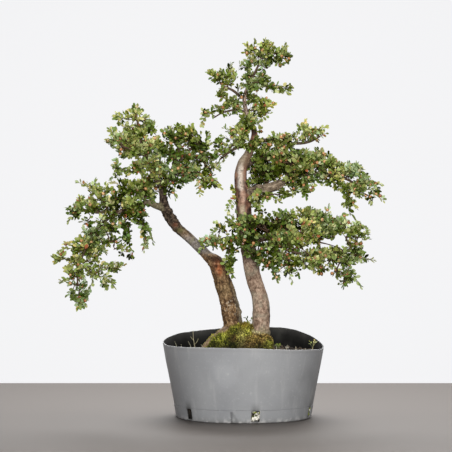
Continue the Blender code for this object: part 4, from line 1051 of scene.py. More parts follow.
# ================================================================== moss
def make_moss():
    rng = np.random.default_rng(9)
    heap = Heap()
    v0, f0 = pebble_template(4)
    for u, v, y, ru, rv, ry in ((238, 352, -4, 33, 23, 50), (240, 340, -8, 17, 16, 30), (224, 346, -10, 16, 13, 34),
                                (259, 344, -8, 13, 11, 28), (246, 334, -4, 9, 10, 16), (217, 349, -12, 12, 9, 25),
                                (257, 348, -30, 13, 10, 18), (230, 350, -36, 14, 9, 14)):
        c = np.array(at(u, v, y))
        heap.add(v0 * np.array([ru * STEP, ry / 1000, rv * STEP]) + c, f0, (0, 0, 0))
    obj = heap.obj("moss_base", None)
    mod = obj.modifiers.new("skin", "REMESH")
    mod.mode, mod.voxel_size = "VOXEL", 0.0022
    graph = bpy.context.evaluated_depsgraph_get()
    mesh = bpy.data.meshes.new_from_object(obj.evaluated_get(graph), depsgraph=graph)
    bpy.data.objects.remove(obj, do_unlink=True)
    bm = bmesh.new()
    bm.from_mesh(mesh)
    bmesh.ops.bisect_plane(bm, geom=bm.verts[:] + bm.edges[:] + bm.faces[:], plane_co=(0, 0, SOIL_TOP - 0.003),
                           plane_no=(0, 0, 1), clear_inner=True)
    bmesh.ops.holes_fill(bm, edges=[e for e in bm.edges if e.is_boundary])
    for _ in range(3):
        bmesh.ops.smooth_vert(bm, verts=[w for w in bm.verts if w.co.z > SOIL_TOP - 0.002], factor=0.5,
                              use_axis_x=True, use_axis_y=True, use_axis_z=True)
    bmesh.ops.triangulate(bm, faces=bm.faces)
    bm.normal_update()
    co = np.array([w.co[:] for w in bm.verts])
    no = np.array([w.normal[:] for w in bm.verts])
    faces = np.array([[w.index for w in t.verts] for t in bm.faces])
    bm.free()
    co = co + no * (0.0016 * fbm(co * 110, 3, 5) + 0.0010 * fbm(co * 320, 2, 6))[:, None] * (co[:, 2] > SOIL_TOP - 0.002)[:, None]

    def moss_tone(p):
        u, v = ruler(p)
        n = fbm(p * 55, 3, 41) + 0.8 * fbm(p * 310, 2, 42)
        green = ramp([(0, (0.025, 0.030, 0.005)), (0.45, (0.120, 0.130, 0.018)), (0.75, (0.27, 0.285, 0.045)), (1, (0.44, 0.45, 0.10))],
                     np.clip(0.48 + n, 0, 1))
        brown = ramp([(0, (0.040, 0.022, 0.008)), (0.5, (0.185, 0.110, 0.036)), (1, (0.42, 0.29, 0.13))],
                     np.clip(0.5 + fbm(p * 140, 2, 43) + 0.7 * fbm(p * 420, 2, 44), 0, 1))
        low = np.clip((v - 334) / 5, 0, 1)
        dry = np.clip(0.36 + 2.0 * fbm(p * 38, 2, 45) - 0.45 * np.exp(-((u - 221) / 9) ** 2)
                      + 0.8 * np.exp(-((u - 254) / 9) ** 2) * low + 1.0 * np.clip((211 - u) / 6, 0, 1), 0, 1)
        c = mixed(green, brown, dry * 0.85)
        straw = np.exp(-((u - 241.5) / 3.6) ** 2) * np.clip((v - 328) / 6, 0, 1)
        c = mixed(c, ramp([(0, (0.14, 0.115, 0.030)), (1, (0.46, 0.42, 0.19))], np.clip(0.5 + fbm(p * 300, 2, 46), 0, 1)), straw * 0.7)
        rusty = np.exp(-(((u - 244) / 6) ** 2 + ((v - 327) / 4) ** 2))
        c = mixed(c, (0.22, 0.135, 0.020), rusty * 0.5)
        crusty = np.exp(-((v - (333.6 - 0.035 * (u - 259) ** 2)) / 1.3) ** 2) * (np.abs(u - 259) < 7.5)
        c = mixed(c, (0.52, 0.47, 0.34), crusty * 0.7)
        c = c * np.array([1.10, 1.08, 0.86])
        # the moss is painted darker below v 340.5, near the soil: painted shade inside the pot
        return c * (1 - 0.62 * np.clip((v - 340.5) / 5.5, 0, 1))[:, None], dry

    tone, _ = moss_tone(co)
    # the cushion under the shoots is painted at a quarter of the moss tone: painted shade among the shoots
    obj = build("moss_mound_base", co, faces, M_MOSS, colour=tone * 0.25)
    piece(obj, "moss", "moss_mound")
    # shoots of moss
    tri = co[faces]
    area = np.linalg.norm(np.cross(tri[:, 1] - tri[:, 0], tri[:, 2] - tri[:, 0]), axis=1)
    ok = tri[:, :, 2].min(1) > SOIL_TOP - 0.001
    prob = area * ok
    n = 7600
    pick = rng.choice(len(tri), n, p=prob / prob.sum())
    a, b = rng.uniform(size=n), rng.uniform(size=n)
    flip = a + b > 1
    a[flip], b[flip] = 1 - a[flip], 1 - b[flip]
    base = tri[pick, 0] + a[:, None] * (tri[pick, 1] - tri[pick, 0]) + b[:, None] * (tri[pick, 2] - tri[pick, 0])
    nrm = unit(np.cross(tri[pick, 1] - tri[pick, 0], tri[pick, 2] - tri[pick, 0]))
    nrm = unit(nrm + 0.5 * rng.normal(size=(n, 3)) + np.array([0, 0, 0.5]))
    tone, dry = moss_tone(base)
    long = rng.uniform(0.0020, 0.0056, n) * (1.25 - 0.4 * dry)
    thin = rng.uniform(0.00040, 0.00075, n)
    e = unit(np.cross(nrm, rng.normal(size=(n, 3))))
    f = np.cross(nrm, e)
    ring = [base + thin[:, None] * (math.cos(k * 2.0944) * e + math.sin(k * 2.0944) * f) for k in range(3)]
    mid = [base + nrm * (long * 0.55)[:, None] + 1.1 * thin[:, None] * (math.cos(k * 2.0944 + 0.5) * e + math.sin(k * 2.0944 + 0.5) * f) for k in range(3)]
    tip = base + nrm * long[:, None] + 0.0006 * rng.normal(size=(n, 3))
    verts = np.stack(ring + mid + [tip], 1).reshape(-1, 3)
    t = np.array([(0, 1, 4), (0, 4, 3), (1, 2, 5), (1, 5, 4), (2, 0, 3), (2, 3, 5), (3, 4, 6), (4, 5, 6), (5, 3, 6), (2, 1, 0)])
    tris = (t[None] + (np.arange(n) * 7)[:, None, None]).reshape(-1, 3)
    bright = rng.uniform(0.5, 1.6, n)[:, None]
    # each shoot is painted dark at its foot and light at its tip: painted shade down in the cushion and painted light
    # on the tips, besides paler young tips
    c = np.stack([tone * bright * 0.30] * 3 + [tone * bright * 1.05] * 3 + [tone * bright * 2.1], 1).reshape(-1, 3)
    heap = Heap()
    heap.add(verts, tris, np.clip(c, 0, 1))
    obj = heap.obj("moss_shoots", M_MOSS)
    piece(obj, "moss", "moss_mound")


make_moss()

# ================================================================== foliage
# (u, v, y, half width, half height in steps, half depth in mm)
PADS = {
    "leaves_left_crown": (["left_trunk", "crown_front", "left_crown_right"], [
        (136, 112, 6, 7, 9, 20), (134, 119, 2, 9, 7, 18), (142, 120, 6, 7, 8, 18), (121, 119.5, -6, 8, 6, 15),
        (136, 131, 6, 16, 11, 34), (116, 140, -14, 8, 9, 22), (125, 144, -14, 13, 11, 30), (138, 148, -8, 15, 12, 38),
        (151, 130, 14, 8, 8, 20), (145, 121, 4, 6, 8, 13), (150.5, 127.5, 8, 6, 6, 11), (113, 136, -12, 6, 6, 11), (124, 153, 2, 11, 6, 24), (144, 165, 4, 12, 10, 28), (134, 146, 36, 14, 11, 20),
        (153, 146, -2, 12, 11, 28), (157, 160, 0, 12, 12, 28), (117, 168, -6, 8, 7, 18), (130, 170, -6, 9, 5, 20),
        (126, 176, -8, 9, 4, 14), (116, 176, -8, 7, 6, 14), (136, 167, -14, 9, 6, 15), (110, 143, -14, 4, 5, 10),
        (146, 152, -28, 10, 9, 12), (153, 164, -24, 9, 9, 11),
        (158, 176, -20, 9, 8, 10), (162, 186, -14, 7, 5, 9), (141, 137, -20, 9, 8, 12), (138, 124, -14, 6, 7, 9)]),
    "leaves_left_lobe": (["left_crown_right", "lobe_back", "left_trunk"], [
        (174, 137, 22, 13, 10, 26), (180, 132, 18, 12, 7, 20), (167, 133, 16, 6, 5, 14), (191, 138, 14, 13, 12, 28),
        (200, 145, 2, 10, 11, 22), (178, 155, 28, 16, 12, 36), (196, 160, 24, 14, 12, 30), (210, 157, 10, 8, 6, 14),
        (212, 168, 10, 9, 9, 18), (184, 173, 4, 17, 12, 30), (210, 182, 4, 9, 8, 15), (169, 191, -8, 6, 6, 11),
        (200, 176, 6, 12, 10, 20), (165, 150, 12, 9, 11, 24), (163, 172, 6, 10, 12, 24), (172, 180, -4, 11, 8, 16),
        (182, 182, -2, 9, 7, 14), (175, 166, -18, 10, 8, 12), (186, 157, -14, 9, 8, 12), (165, 185, -15, 6, 5, 8), (154, 194, -2, 6, 6, 9),
        (158, 188, 6, 6, 5, 8)]),
    "leaves_left_shoulder": (["left_cascade", "left_trunk"], [
        (148, 178, 0, 10, 8, 28), (150, 187, 4, 11, 8, 26), (137, 188, -16, 15, 10, 34), (121, 185, -8, 10, 7, 22),
        (122, 196, -12, 14, 11, 30), (133, 206, -24, 16, 12, 28), (139, 214, -22, 9, 11, 22), (149, 195, -14, 8, 7, 14),
        (143, 228, -18, 7, 12, 15), (128, 221, -32, 9, 10, 15), (128, 240, -34, 6, 13, 11), (121, 211, -38, 15, 10, 13),
        (138, 203, -34, 10, 8, 12), (112, 228, -34, 11, 10, 15), (114, 242, -32, 10, 8, 13), (122, 250, -34, 8, 6, 11),
        (147, 242, -18, 8, 7, 11), (130, 253, -37, 5, 7, 9), (112, 214, -46, 10, 7, 9), (122, 209, -45, 9, 6, 9), (119, 205, 8, 8, 8, 9), (126, 212, 0, 8, 7, 9)]),
    "leaves_left_outer": (["left_outer", "left_cascade"], [
        (97, 190, 8, 9, 6, 15), (101, 200, 4, 13, 9, 24), (83, 203, 18, 11, 7, 22), (89, 187, 10, 6, 5, 12),
        (78, 210, 14, 10, 7, 20), (107, 190, -2, 6, 5, 12), (94, 208, -6, 13, 7, 20), (109, 205, -10, 12, 9, 22),
        (87, 223, -10, 7, 6, 15), (77, 216, 8, 6, 4, 11)]),
    "leaves_left_cascade": (["left_cascade"], [
        (104, 224, -32, 14, 11, 26), (92, 235, -22, 15, 12, 28), (83, 246, -20, 14, 11, 26), (60, 256, -24, 7, 7, 14),
        (94, 252, -12, 12, 10, 20), (76, 261, -20, 11, 9, 22), (75, 272, -18, 12, 9, 22), (90, 269, -10, 9, 9, 16),
        (78, 284, -16, 11, 8, 18), (76, 294, -14, 9, 8, 15), (82, 301, -14, 9, 8, 15), (85, 288, -10, 6, 8, 12), (94, 241, -38, 9, 9, 10),
        (106, 243, -30, 7, 7, 11), (90, 262, -12, 8, 5, 10), (83, 297, -15, 8, 9, 12), (98, 232, -30, 9, 7, 12),
        (86, 252, -16, 9, 7, 12)]),
    "leaves_left_spray": (["left_cascade"], [
        (100, 274, -12, 6, 9, 12), (105, 268, -13, 8, 6, 12), (115, 268, -14, 8, 7, 13), (108, 283, -13, 9, 7, 12)]),
    "leaves_apex": (["right_trunk"], [
        (274, 55, 2, 15, 12, 26), (264, 48, 2, 8, 9, 17), (284, 56, 0, 8, 11, 18), (249, 49, 0, 6, 6, 11),
        (257, 58, 0, 7, 7, 13), (263, 66, 2, 10, 8, 18), (272, 67, 2, 9, 6, 16)]),
    "leaves_apex_left": (["apex_left", "right_trunk"], [
        (214, 76, -8, 8, 7, 15), (219, 79, -8, 7, 6, 13), (232, 88, -11, 7, 5, 9),
        (239, 92, -9, 5, 6, 8), (225, 76, -6, 9, 8, 16), (229, 68, -6, 5, 6, 10), (236, 79, -2, 7, 8, 12),
        (228, 84, -5, 9, 6, 13)]),
    "leaves_apex_middle": (["right_trunk"], [
        (246, 66, 0, 7, 8, 14), (248, 76, 2, 10, 9, 20), (262, 79, 4, 11, 9, 22), (252, 86, 4, 12, 8, 22),
        (283, 88, 6, 9, 4, 12), (270, 86, 6, 9, 5, 14), (250, 97, 6, 10, 9, 20), (265, 104, 8, 11, 10, 22),
        (252, 110, 4, 10, 9, 18), (247, 120, -6, 10, 8, 14), (263, 114, 6, 9, 8, 15), (254, 122, 4, 8, 6, 12), (246, 104, -12, 8, 8, 11),
        (247, 88, -12, 8, 8, 11), (241, 66, -2, 5, 5, 9), (242, 93, -7, 6, 8, 10), (249, 62, -2, 6, 6, 10), (240, 100, -8, 6, 7, 8)]),
    "leaves_spur_left": (["spur_left", "apex_left"], [
        (231, 103, -4, 9, 8, 15), (222, 95, -6, 8, 8, 14), (221, 107, -6, 9, 7, 14), (211, 111, -8, 5, 6, 11),
        (204, 112, -8, 4, 5, 9), (204, 122, -8, 4, 5, 9), (237, 107, -4, 7, 8, 12), (232, 114, -6, 8, 4, 10)]),
    "leaves_middle_left": (["mid_left", "right_trunk"], [
        (246, 127, -6, 10, 9, 20), (238, 136, -12, 13, 11, 24), (231, 148, -15, 12, 9, 18), (219, 143, -16, 6, 4, 10),
        (220, 153, -16, 8, 6, 12), (246, 141, -14, 11, 10, 16), (254, 146, -10, 9, 6, 12), (250, 121, -8, 8, 7, 14),
        (253, 129, -13, 8, 9, 11), (257, 140, -11, 8, 8, 11), (259, 132, 2, 7, 7, 13)]),
    "leaves_right_upper": (["right_upper"], [
        (264, 141, 14, 9, 7, 20), (278, 140, 16, 13, 8, 26), (292, 138, 20, 12, 8, 22), (303, 129, 22, 6, 8, 15),
        (308, 136, 20, 11, 7, 20), (321, 132, 20, 7, 7, 13), (315, 138, 20, 9, 5, 13), (309, 131, 20, 6, 6, 12), (321, 133, 18, 6, 5, 10), (270, 147, 0, 12, 6, 16), (286, 146, 8, 13, 6, 18),
        (300, 141, 14, 9, 5, 14)]),
    "leaves_right_middle": (["right_first", "middle_front", "right_upper"], [
        (264, 156, 4, 14, 10, 36), (281, 158, 0, 16, 11, 40), (298, 161, -6, 14, 12, 38), (268, 171, 8, 14, 8, 30),
        (306, 173, -4, 14, 12, 30), (298, 184, -2, 13, 7, 18), (256, 169, 26, 10, 12, 16), (254, 176, 34, 8, 8, 13),
        (262, 178, 26, 10, 7, 14), (254, 181, 26, 7, 6, 12), (250.5, 173, 30, 6, 10, 9), (251, 184, 30, 6, 6, 9), (264, 182, 20, 9, 5, 12), (258, 183, 12, 8, 5, 10), (254, 179.5, 4, 6, 5, 9), (264, 179, -2, 6, 4, 9), (278, 176, -8, 7, 4, 9),
        (274, 179, 0, 9, 5, 14), (254, 162, -2, 7, 6, 10), (289, 182, -14, 8, 6, 9), (296, 175, -24, 14, 9, 15), (280, 168, -20, 10, 7, 14), (309, 160, 2, 9, 10, 24), (276, 171, 0, 13, 7, 26), (254, 165, 20, 8, 11, 18),
        (288, 171, -10, 11, 7, 18), (302, 172, -14, 11, 9, 14), (291, 172, -34, 12, 7, 11), (317, 165, -6, 11, 7, 20),
        (304, 168, -34, 11, 8, 11)]),
    "leaves_right_back": (["upper_back"], [
        (264, 160, 58, 15, 12, 22), (282, 158, 62, 17, 13, 24), (298, 160, 54, 13, 11, 18)]),
    "leaves_right_outer": (["right_first"], [
        (318, 160, 6, 11, 11, 30), (332, 166, 8, 13, 11, 32), (347, 173, 12, 13, 10, 30), (331, 178, 8, 16, 10, 28),
        (362, 182, 16, 12, 9, 22), (374, 186, 16, 8, 7, 14), (356, 190, 14, 14, 10, 24), (370, 196, 16, 9, 6, 14),
        (348, 201, 12, 8, 7, 13), (353, 167, 14, 5, 6, 10), (315, 178, -2, 10, 8, 22), (331, 156, 8, 6, 5, 12),
        (322, 168, 0, 7, 6, 13), (341, 185, 10, 8, 7, 13), (346, 191, 12, 7, 6, 11), (362, 176, 14, 7, 6, 11)]),
    "leaves_right_under": (["right_first", "right_trunk"], [
        (266, 196, -12, 14, 6, 18), (256, 200, -18, 7, 6, 14), (257, 209, -20, 7, 6, 13), (282, 193, -4, 12, 5, 14),
        (302, 190, -4, 14, 5, 12)]),
    "leaves_low_inner": (["right_low", "low_front", "low_left_arm"], [
        (237, 224, -32, 13, 9, 20), (252, 224, -34, 14, 11, 24), (268, 226, -34, 15, 10, 30), (284, 219, -30, 14, 11, 34),
        (250, 240, -36, 14, 12, 24), (266, 245, -42, 17, 13, 34), (284, 242, -44, 16, 15, 40), (273, 258, -42, 17, 12, 28),
        (291, 262, -44, 12, 11, 22), (289, 273, -42, 7, 7, 12), (276, 274, -40, 6, 7, 12), (254, 254, -38, 11, 9, 17)]),
    "leaves_low_back": (["low_back"], [
        (258, 229, 54, 15, 11, 22), (276, 228, 64, 16, 13, 26), (290, 232, 60, 12, 12, 20), (301, 227, 52, 9, 8, 13)]),
    "leaves_low_arm": (["low_left_arm"], [
        (213, 242, -28, 12, 6, 14), (219, 228, -30, 8, 6, 12), (228, 246, -30, 9, 8, 13), (229, 262, -28, 8, 12, 12),
        (235, 240, -30, 11, 8, 14), (236, 252, -29, 7, 7, 11)]),
    "leaves_low_outer": (["right_low", "low_outer_back", "low_front"], [
        (306, 214, -26, 12, 10, 30), (321, 218, -20, 13, 10, 32), (338, 224, -16, 13, 10, 26), (352, 233, -18, 9, 8, 17),
        (312, 233, -36, 16, 14, 40), (328, 231, -28, 12, 10, 32), (316, 256, -38, 18, 12, 34), (338, 259, -26, 15, 11, 28),
        (350, 275, -20, 10, 9, 16), (362, 257, -18, 11, 6, 15), (354, 245, -20, 10, 8, 17), (323, 269, -32, 11, 7, 18),
        (350, 262, -22, 9, 8, 18), (337, 273, -24, 8, 7, 15), (364, 236, -18, 6, 5, 11), (356, 232, -18, 8, 10, 14), (343, 282, -20, 5, 5, 9),
        (301, 240, -42, 9, 14, 26), (316, 243, -54, 11, 5, 9), (345, 253, -22, 9, 7, 14),
        (334, 252, -28, 9, 6, 18), (344, 231, -16, 7, 6, 13), (341, 226, -20, 8, 6, 12), (358, 254, -20, 7, 6, 12), (365, 258, -17, 6, 4, 9), (352, 250, -20, 6, 5, 11), (305, 262, -40, 10, 9, 18), (330, 225, -34, 10, 7, 14)]),
}
# How much lighter or darker the leaves of a limb are than the rest: partly young growth at the ends and old inside,
# partly painted light and shade, lighter on the front limbs and darker on those behind.
GROWTH_AND_PAINTED_LIGHT = {"left_crown": 0.32, "left_cascade": 0.31, "left_spray": 0.29, "left_outer": 0.26, "apex": 0.22,
        "apex_left": 0.20, "apex_middle": 0.27, "spur_left": 0.25, "middle_left": 0.21, "right_upper": 0.26,
        "right_outer": 0.26, "low_outer": 0.32, "left_lobe": 0.19, "left_shoulder": 0.21, "right_middle": 0.21,
        "low_inner": 0.21, "low_arm": 0.20, "right_under": 0.14, "right_back": -0.06, "low_back": -0.04}
# How much darker the leaves get towards the inside of a limb's mass: painted shade, with older darker leaves inside.
OLD_LEAVES_AND_PAINTED_SHADE = {"left_lobe": 0.80, "left_shoulder": 0.85, "low_inner": 0.95, "low_outer": 0.80, "right_middle": 0.75,
        "right_outer": 0.70, "low_back": 0.9, "right_back": 0.9, "left_outer": 0.65}
# Places where young pale growth gathers, and where leaves are painted darker as painted shade in the deep pockets: (u,
# v, half wide, half high, change).
GROWTH_AND_SHADE_PATCHES = [(308, 219, 17, 12, 0.10), (346, 272, 13, 12, 0.08), (256, 236, 14, 12, -0.09), (277, 219, 9, 6, -0.12),
           (136, 138, 13, 12, 0.05), (354, 166, 6, 6, 0.12), (370, 183, 12, 10, 0.05), (306, 130, 11, 9, 0.06),
           (200, 142, 9, 9, -0.09), (163, 152, 7, 12, -0.10), (119, 207, 7, 10, -0.09), (262, 172, 12, 8, -0.10),
           (322, 224, 9, 8, -0.05), (276, 205, 12, 8, 0.05), (104, 270, 18, 14, 0.04), (246, 100, 5, 20, -0.10),
           (266, 229, 9, 8, -0.34), (120, 209, 7, 8, -0.26), (256, 177, 11, 11, -0.22), (281, 275, 14, 8, 0.16),
           (200, 157, 8, 8, -0.06), (147, 240, 10, 14, 0.05)]
# Where the green leans to yellow (above nought) or to blue: (u, v, half wide, half high, change).
HUES = [(308, 222, 16, 12, 0.8), (262, 50, 12, 10, 0.6), (268, 104, 10, 9, 0.8), (238, 134, 11, 8, 0.8), (138, 147, 12, 12, 0.2),
        (302, 132, 12, 8, 0.4), (276, 144, 8, 6, 0.9), (150, 203, 14, 12, -0.9), (96, 238, 16, 14, -0.8), (250, 246, 14, 10, -0.8),
        (152, 172, 10, 8, -0.7), (185, 182, 16, 8, -0.8), (330, 268, 20, 10, -0.7), (128, 236, 20, 14, -0.9), (270, 272, 14, 8, -0.6),
        (88, 296, 12, 10, -0.5), (284, 172, 18, 10, 0.5), (240, 85, 10, 14, 0.6)]
# Deep pockets, where the front leaves are missing down to a depth: (u, v, half wide, half high, deep to y in mm).
POCKETS = [(262, 229, 7, 6, 10), (274, 219, 5, 3.4, 20), (262, 240, 5, 3, 0), (257, 248, 4, 3, -10),
           (311, 246, 4, 3, -14), (286, 252, 3.4, 2.6, -24),
           (119, 209, 4, 5, -8), (163, 161, 5, 4, 16), (299, 228, 3.4, 3, 0), (322, 243, 3, 3, -12), (167, 146, 4, 3, 20),
           (289, 163, 5, 2.6, 10), (268, 163, 4, 3, 10), (306, 264, 3, 2, -26), (247, 100, 3.4, 12, 2),
           (252, 135, 3, 6, 4), (203, 139, 3, 4, 10), (177, 175, 3.4, 2.4, 6)]

# Open places in the foliage, where the background shows through: (u, v, half width, half height).
GAPS = [
    (117.0, 145.0, 2.2, 1.6), (122.0, 150.8, 2.4, 1.2), (126.5, 161.4, 6.0, 2.6), (122.4, 166.6, 2.6, 2.2),
    (136, 177.0, 5.4, 3.0), (159, 130.5, 2.6, 5.6), (184.4, 136.4, 2.4, 2.2), (173.6, 144.2, 2.8, 1.8),
    (186.4, 147.2, 3.2, 2.2), (180.6, 150.0, 1.8, 1.4), (190, 161.0, 2.8, 1.6), (169, 173.5, 1.8, 1.4),
    (201.5, 162.7, 1.6, 1.6), (209, 163.8, 1.4, 1.2), (198, 153.6, 2.6, 1.4),
    (87.6, 215.0, 4.6, 1.8), (92.7, 225.5, 1.8, 1.4), (99.6, 219.8, 1.8, 1.4), (95, 197.4, 1.4, 1.2),
    (134.6, 229, 3.6, 4.0), (121.6, 231, 2.2, 4.0), (137, 242, 2.8, 5.0), (80.6, 263.6, 2.6, 1.4),
    (88.4, 278.6, 2.6, 2.0), (69.6, 288.6, 2.0, 2.4), (333, 243.4, 5.6, 4.0), (345.6, 246, 2.0, 1.6),
    (279, 256.6, 1.4, 1.2), (283.4, 268.6, 2.2, 2.2), (264.6, 268.4, 2.0, 1.6), (309, 146.6, 4.0, 1.8),
    (258, 215.2, 2.0, 1.2), (257, 58.8, 1.0, 1.2), (262.6, 95.6, 4.0, 2.4), (251.6, 106.4, 2.0, 2.2), (227.0, 91.2, 1.8, 1.6),
    (327, 262, 2.0, 1.6), (240, 254.6, 1.6, 2.2),
]
# Single shoots that stand out of the mass: the stem's places from base to tip.
SPRIGS = {
    "leaves_right_middle": [
        [(256, 177, -2), (251, 180, -9), (247, 182.5, -12)], [(259, 180, 0), (254, 183.4, -8), (250, 185, -12)]],
    "leaves_left_crown": [
        [(137, 112, 4), (137.4, 107, 4)], [(130, 116, 2), (124, 114.5, 0), (118, 114, -2), (114, 116, -3)],
        [(117, 133, -8), (112, 130, -10), (109.5, 129, -10)], [(110, 140, -14), (106, 140.6, -16)],
        [(151, 125, 10), (154.5, 123, 11)]],
    "leaves_left_lobe": [
        [(166, 136, 14), (162, 130.5, 14), (160.6, 128.5, 14)], [(178, 130, 16), (177.6, 125, 16)],
        [(204, 166, 14), (211, 161, 12), (216, 157, 10)], [(210, 168, 12), (218, 164, 10), (221.5, 162, 10)],
        [(208, 178, 6), (215, 183, 4), (221, 188, 2)], [(198.4, 178, 2), (198.8, 186, 0), (199.6, 195, 0)],
        [(168, 184, -8), (173, 192, -10), (175, 198, -10)], [(203, 150, 6), (208, 144.6, 6), (210, 142.4, 6)]],
    "leaves_left_shoulder": [
        [(147, 222, -16), (150, 234, -16), (153, 244, -16)], [(143, 224, -18), (144.6, 238, -18), (144, 250, -18)],
        [(128, 222, -32), (128, 236, -36), (131, 248, -37), (133, 256, -37)],
        [(124, 224, -32), (123, 234, -34), (122, 242, -34)], [(117, 184, -10), (113, 182, -10)]],
    "leaves_left_outer": [
        [(96, 196, 6), (88, 188, 10), (80, 183, 12), (77.6, 182, 12)], [(103, 196, 2), (105.6, 187, -2), (105.8, 184, -2)],
        [(78, 208, 12), (70, 207.6, 12), (66.4, 208.8, 12)], [(78, 214, 12), (71, 219, 12), (68, 222, 12)],
        [(92, 188, 8), (95, 181, 8)]],
    "leaves_left_cascade": [
        [(76, 248, -22), (66, 249, -24), (59.6, 251, -25)], [(70, 258, -22), (60, 260, -25), (54.6, 261.4, -26)],
        [(72, 246, -20), (67, 244, -22), (63.6, 243, -23)], [(78, 288, -14), (72, 291, -16), (67.5, 294.6, -17)],
        [(72, 278, -18), (64, 279.6, -20), (60.2, 281, -21)], [(80, 300, -14), (78, 308, -14)],
        [(94, 272, -10), (92, 282, -9), (88, 292, -8)]],
    "leaves_left_spray": [
        [(97, 265, -12), (104, 264.5, -14), (112, 266, -14), (120.6, 268, -14)],
        [(101, 268, -12), (104.6, 277, -12), (105.6, 288, -12)], [(106, 276, -12), (112, 283, -13), (115, 287, -13)]],
    "leaves_apex": [
        [(265, 52, 2), (264.6, 42, 2), (264.4, 39.6, 2)], [(256, 56, 0), (250, 48, 0), (245, 43, 0)],
        [(254, 52, 0), (254, 44, 0), (255, 41, 0)], [(252, 54, 0), (244.6, 53, -1)]],
    "leaves_apex_left": [
        [(220, 76, -8), (211, 73, -9), (207.6, 73, -9)], [(228, 72, -6), (230, 65, -6), (231, 63.6, -6)],
        [(222, 90, -5), (217.6, 94, -5)]],
    "leaves_apex_middle": [
        [(272, 87, 6), (282, 86, 6), (291.6, 90, 6)], [(274, 90, 6), (284, 91, 6), (289, 93, 6)],
        [(247, 68, 0), (247, 60, 0), (249, 58.6, 0)]],
    "leaves_spur_left": [
        [(214, 112, -8), (206, 116, -8), (202.6, 121, -8), (201.6, 125, -8)], [(226, 100, -4), (220, 95, -5)],
        [(208, 114, -8), (203, 110.6, -8)]],
    "leaves_middle_left": [
        [(228, 146, -16), (220, 143, -17), (216, 142, -17)], [(224, 150, -17), (218, 154, -18), (215, 157.6, -18)],
        [(230, 132, -12), (224.6, 128, -12)]],
    "leaves_right_upper": [
        [(304, 130, 22), (305, 123, 22), (305.6, 120.6, 22)], [(314, 132, 22), (321, 128.6, 20), (325.6, 128, 20)],
        [(318, 134, 20), (326.4, 133.4, 20)]],
    "leaves_right_outer": [
        [(368, 186, 16), (376, 184, 16), (381, 184, 16)], [(372, 192, 16), (379, 197, 16), (383.4, 201, 16)],
        [(344, 194, 10), (346.6, 204, 10), (351, 214, 10), (356, 222, 10)],
        [(346, 198, 10), (352, 202, 10), (356.6, 208, 10)], [(354, 166, 14), (360, 168, 14), (363.6, 171.6, 14)],
        [(372, 196, 14), (371.6, 203, 14)]],
    "leaves_right_under": [
        [(250, 195, -18), (256, 201, -20), (262, 205, -20)], [(264, 190, -10), (272, 197, -14), (281, 202, -14)],
        [(237, 197, 0), (231.4, 203, -7), (228, 209, -11), (229, 214, -12)], [(237, 190.6, 0), (232.6, 188, -4)],
        [(284, 182, -8), (290, 189, -8), (293, 195, -8)], [(300, 182, -4), (304, 192, -4), (306, 198, -4)]],
    "leaves_low_arm": [
        [(222, 240, -28), (212, 240, -30), (205, 244.6, -31), (199, 251, -32)], [(218, 238, -28), (209, 237.6, -30), (203, 238, -31)],
        [(228, 236, -26), (221, 228, -30), (214, 223, -31)], [(224, 228, -30), (215, 231, -31), (213, 232, -31)],
        [(230, 250, -28), (229.6, 262, -28), (231, 272, -28), (234, 276, -28)]],
    "leaves_low_inner": [
        [(270, 266, -42), (274, 274, -42), (278, 281.6, -42)], [(284, 268, -44), (290, 276, -44), (292, 283, -44)],
        [(240, 218, -30), (236, 212, -30)]],
    "leaves_low_outer": [
        [(350, 270, -20), (357, 280, -20), (361, 287, -20)], [(346, 274, -20), (344, 284, -20), (342.6, 287.4, -20)],
        [(362, 240, -20), (369, 239, -20)], [(364, 258, -18), (371, 260, -18), (373.6, 260.4, -18)],
        [(354, 226, -16), (361, 227, -18), (367.6, 230, -18)], [(340, 216, -16), (346, 214.6, -16)],
        [(326, 212, -18), (328, 206.6, -18)], [(298, 270, -40), (298, 276, -40)]],
}
LEAVES_PER_CM3 = 4.45


def leaf_shape():
    """One leaf, base at the origin, tip along +X, face up: an oval that is domed along its midrib and flat
    below. 11 vertices, 18 triangles, the upper ones first."""
    v = [(0.0, 0.0, 0.0)]
    for x, h in ((0.18, 0.58), (0.52, 1.0), (0.84, 0.62)):
        sag = -0.11 * (x - 0.30) ** 2
        v += [(x, 0.5 * h, sag), (x, 0.0, 0.075 * h + sag), (x, -0.5 * h, sag)]
    v.append((1.0, 0.0, -0.055))
    top, low = [(0, 2, 1), (0, 3, 2)], [(0, 1, 3)]
    for a in (1, 4):
        top += [(a, a + 1, a + 4), (a, a + 4, a + 3), (a + 1, a + 2, a + 5), (a + 1, a + 5, a + 4)]
        low += [(a, a + 3, a + 5), (a, a + 5, a + 2)]
    top += [(7, 8, 10), (8, 9, 10)]
    low += [(7, 10, 9)]
    return np.array(v), np.array(top + low), len(top)


LEAF_V, LEAF_F, LEAF_TOP = leaf_shape()


class Leaves:
    def __init__(self):
        self.rows = []

    def add(self, base, along, normal, length, tone, width=0.76):
        self.rows.append((*base, *along, *normal, length, width, tone))

    def arrays(self):
        a = np.array(self.rows)
        return a[:, 0:3], a[:, 3:6], a[:, 6:9], a[:, 9], a[:, 10], a[:, 11]


def ellipsoid_points(rng, blobs, n, inset):
    """Scattered places in the blobs, inset metres in from their skins and more of them near it, each with
    the way out and how deep it is in the whole mass."""
    c = points([b[:3] for b in blobs])
    full = np.array([(b[3] * STEP, b[5] / 1000.0, b[4] * STEP) for b in blobs])
    r = np.maximum(full - inset, full * 0.42)
    vol = full.prod(1)
    pick = rng.choice(len(blobs), n, p=vol ** 0.85 / (vol ** 0.85).sum())
    d = unit(rng.normal(size=(n, 3)))
    t = rng.uniform(0.05, 1.0, n) ** (1 / 2.6)
    p = c[pick] + d * r[pick] * t[:, None]
    out = unit(d / r[pick])
    deep = np.zeros(n)
    for k in range(len(blobs)):
        deep = np.maximum(deep, 1 - np.linalg.norm((p - c[k]) / full[k], axis=1))
    return p, out, deep


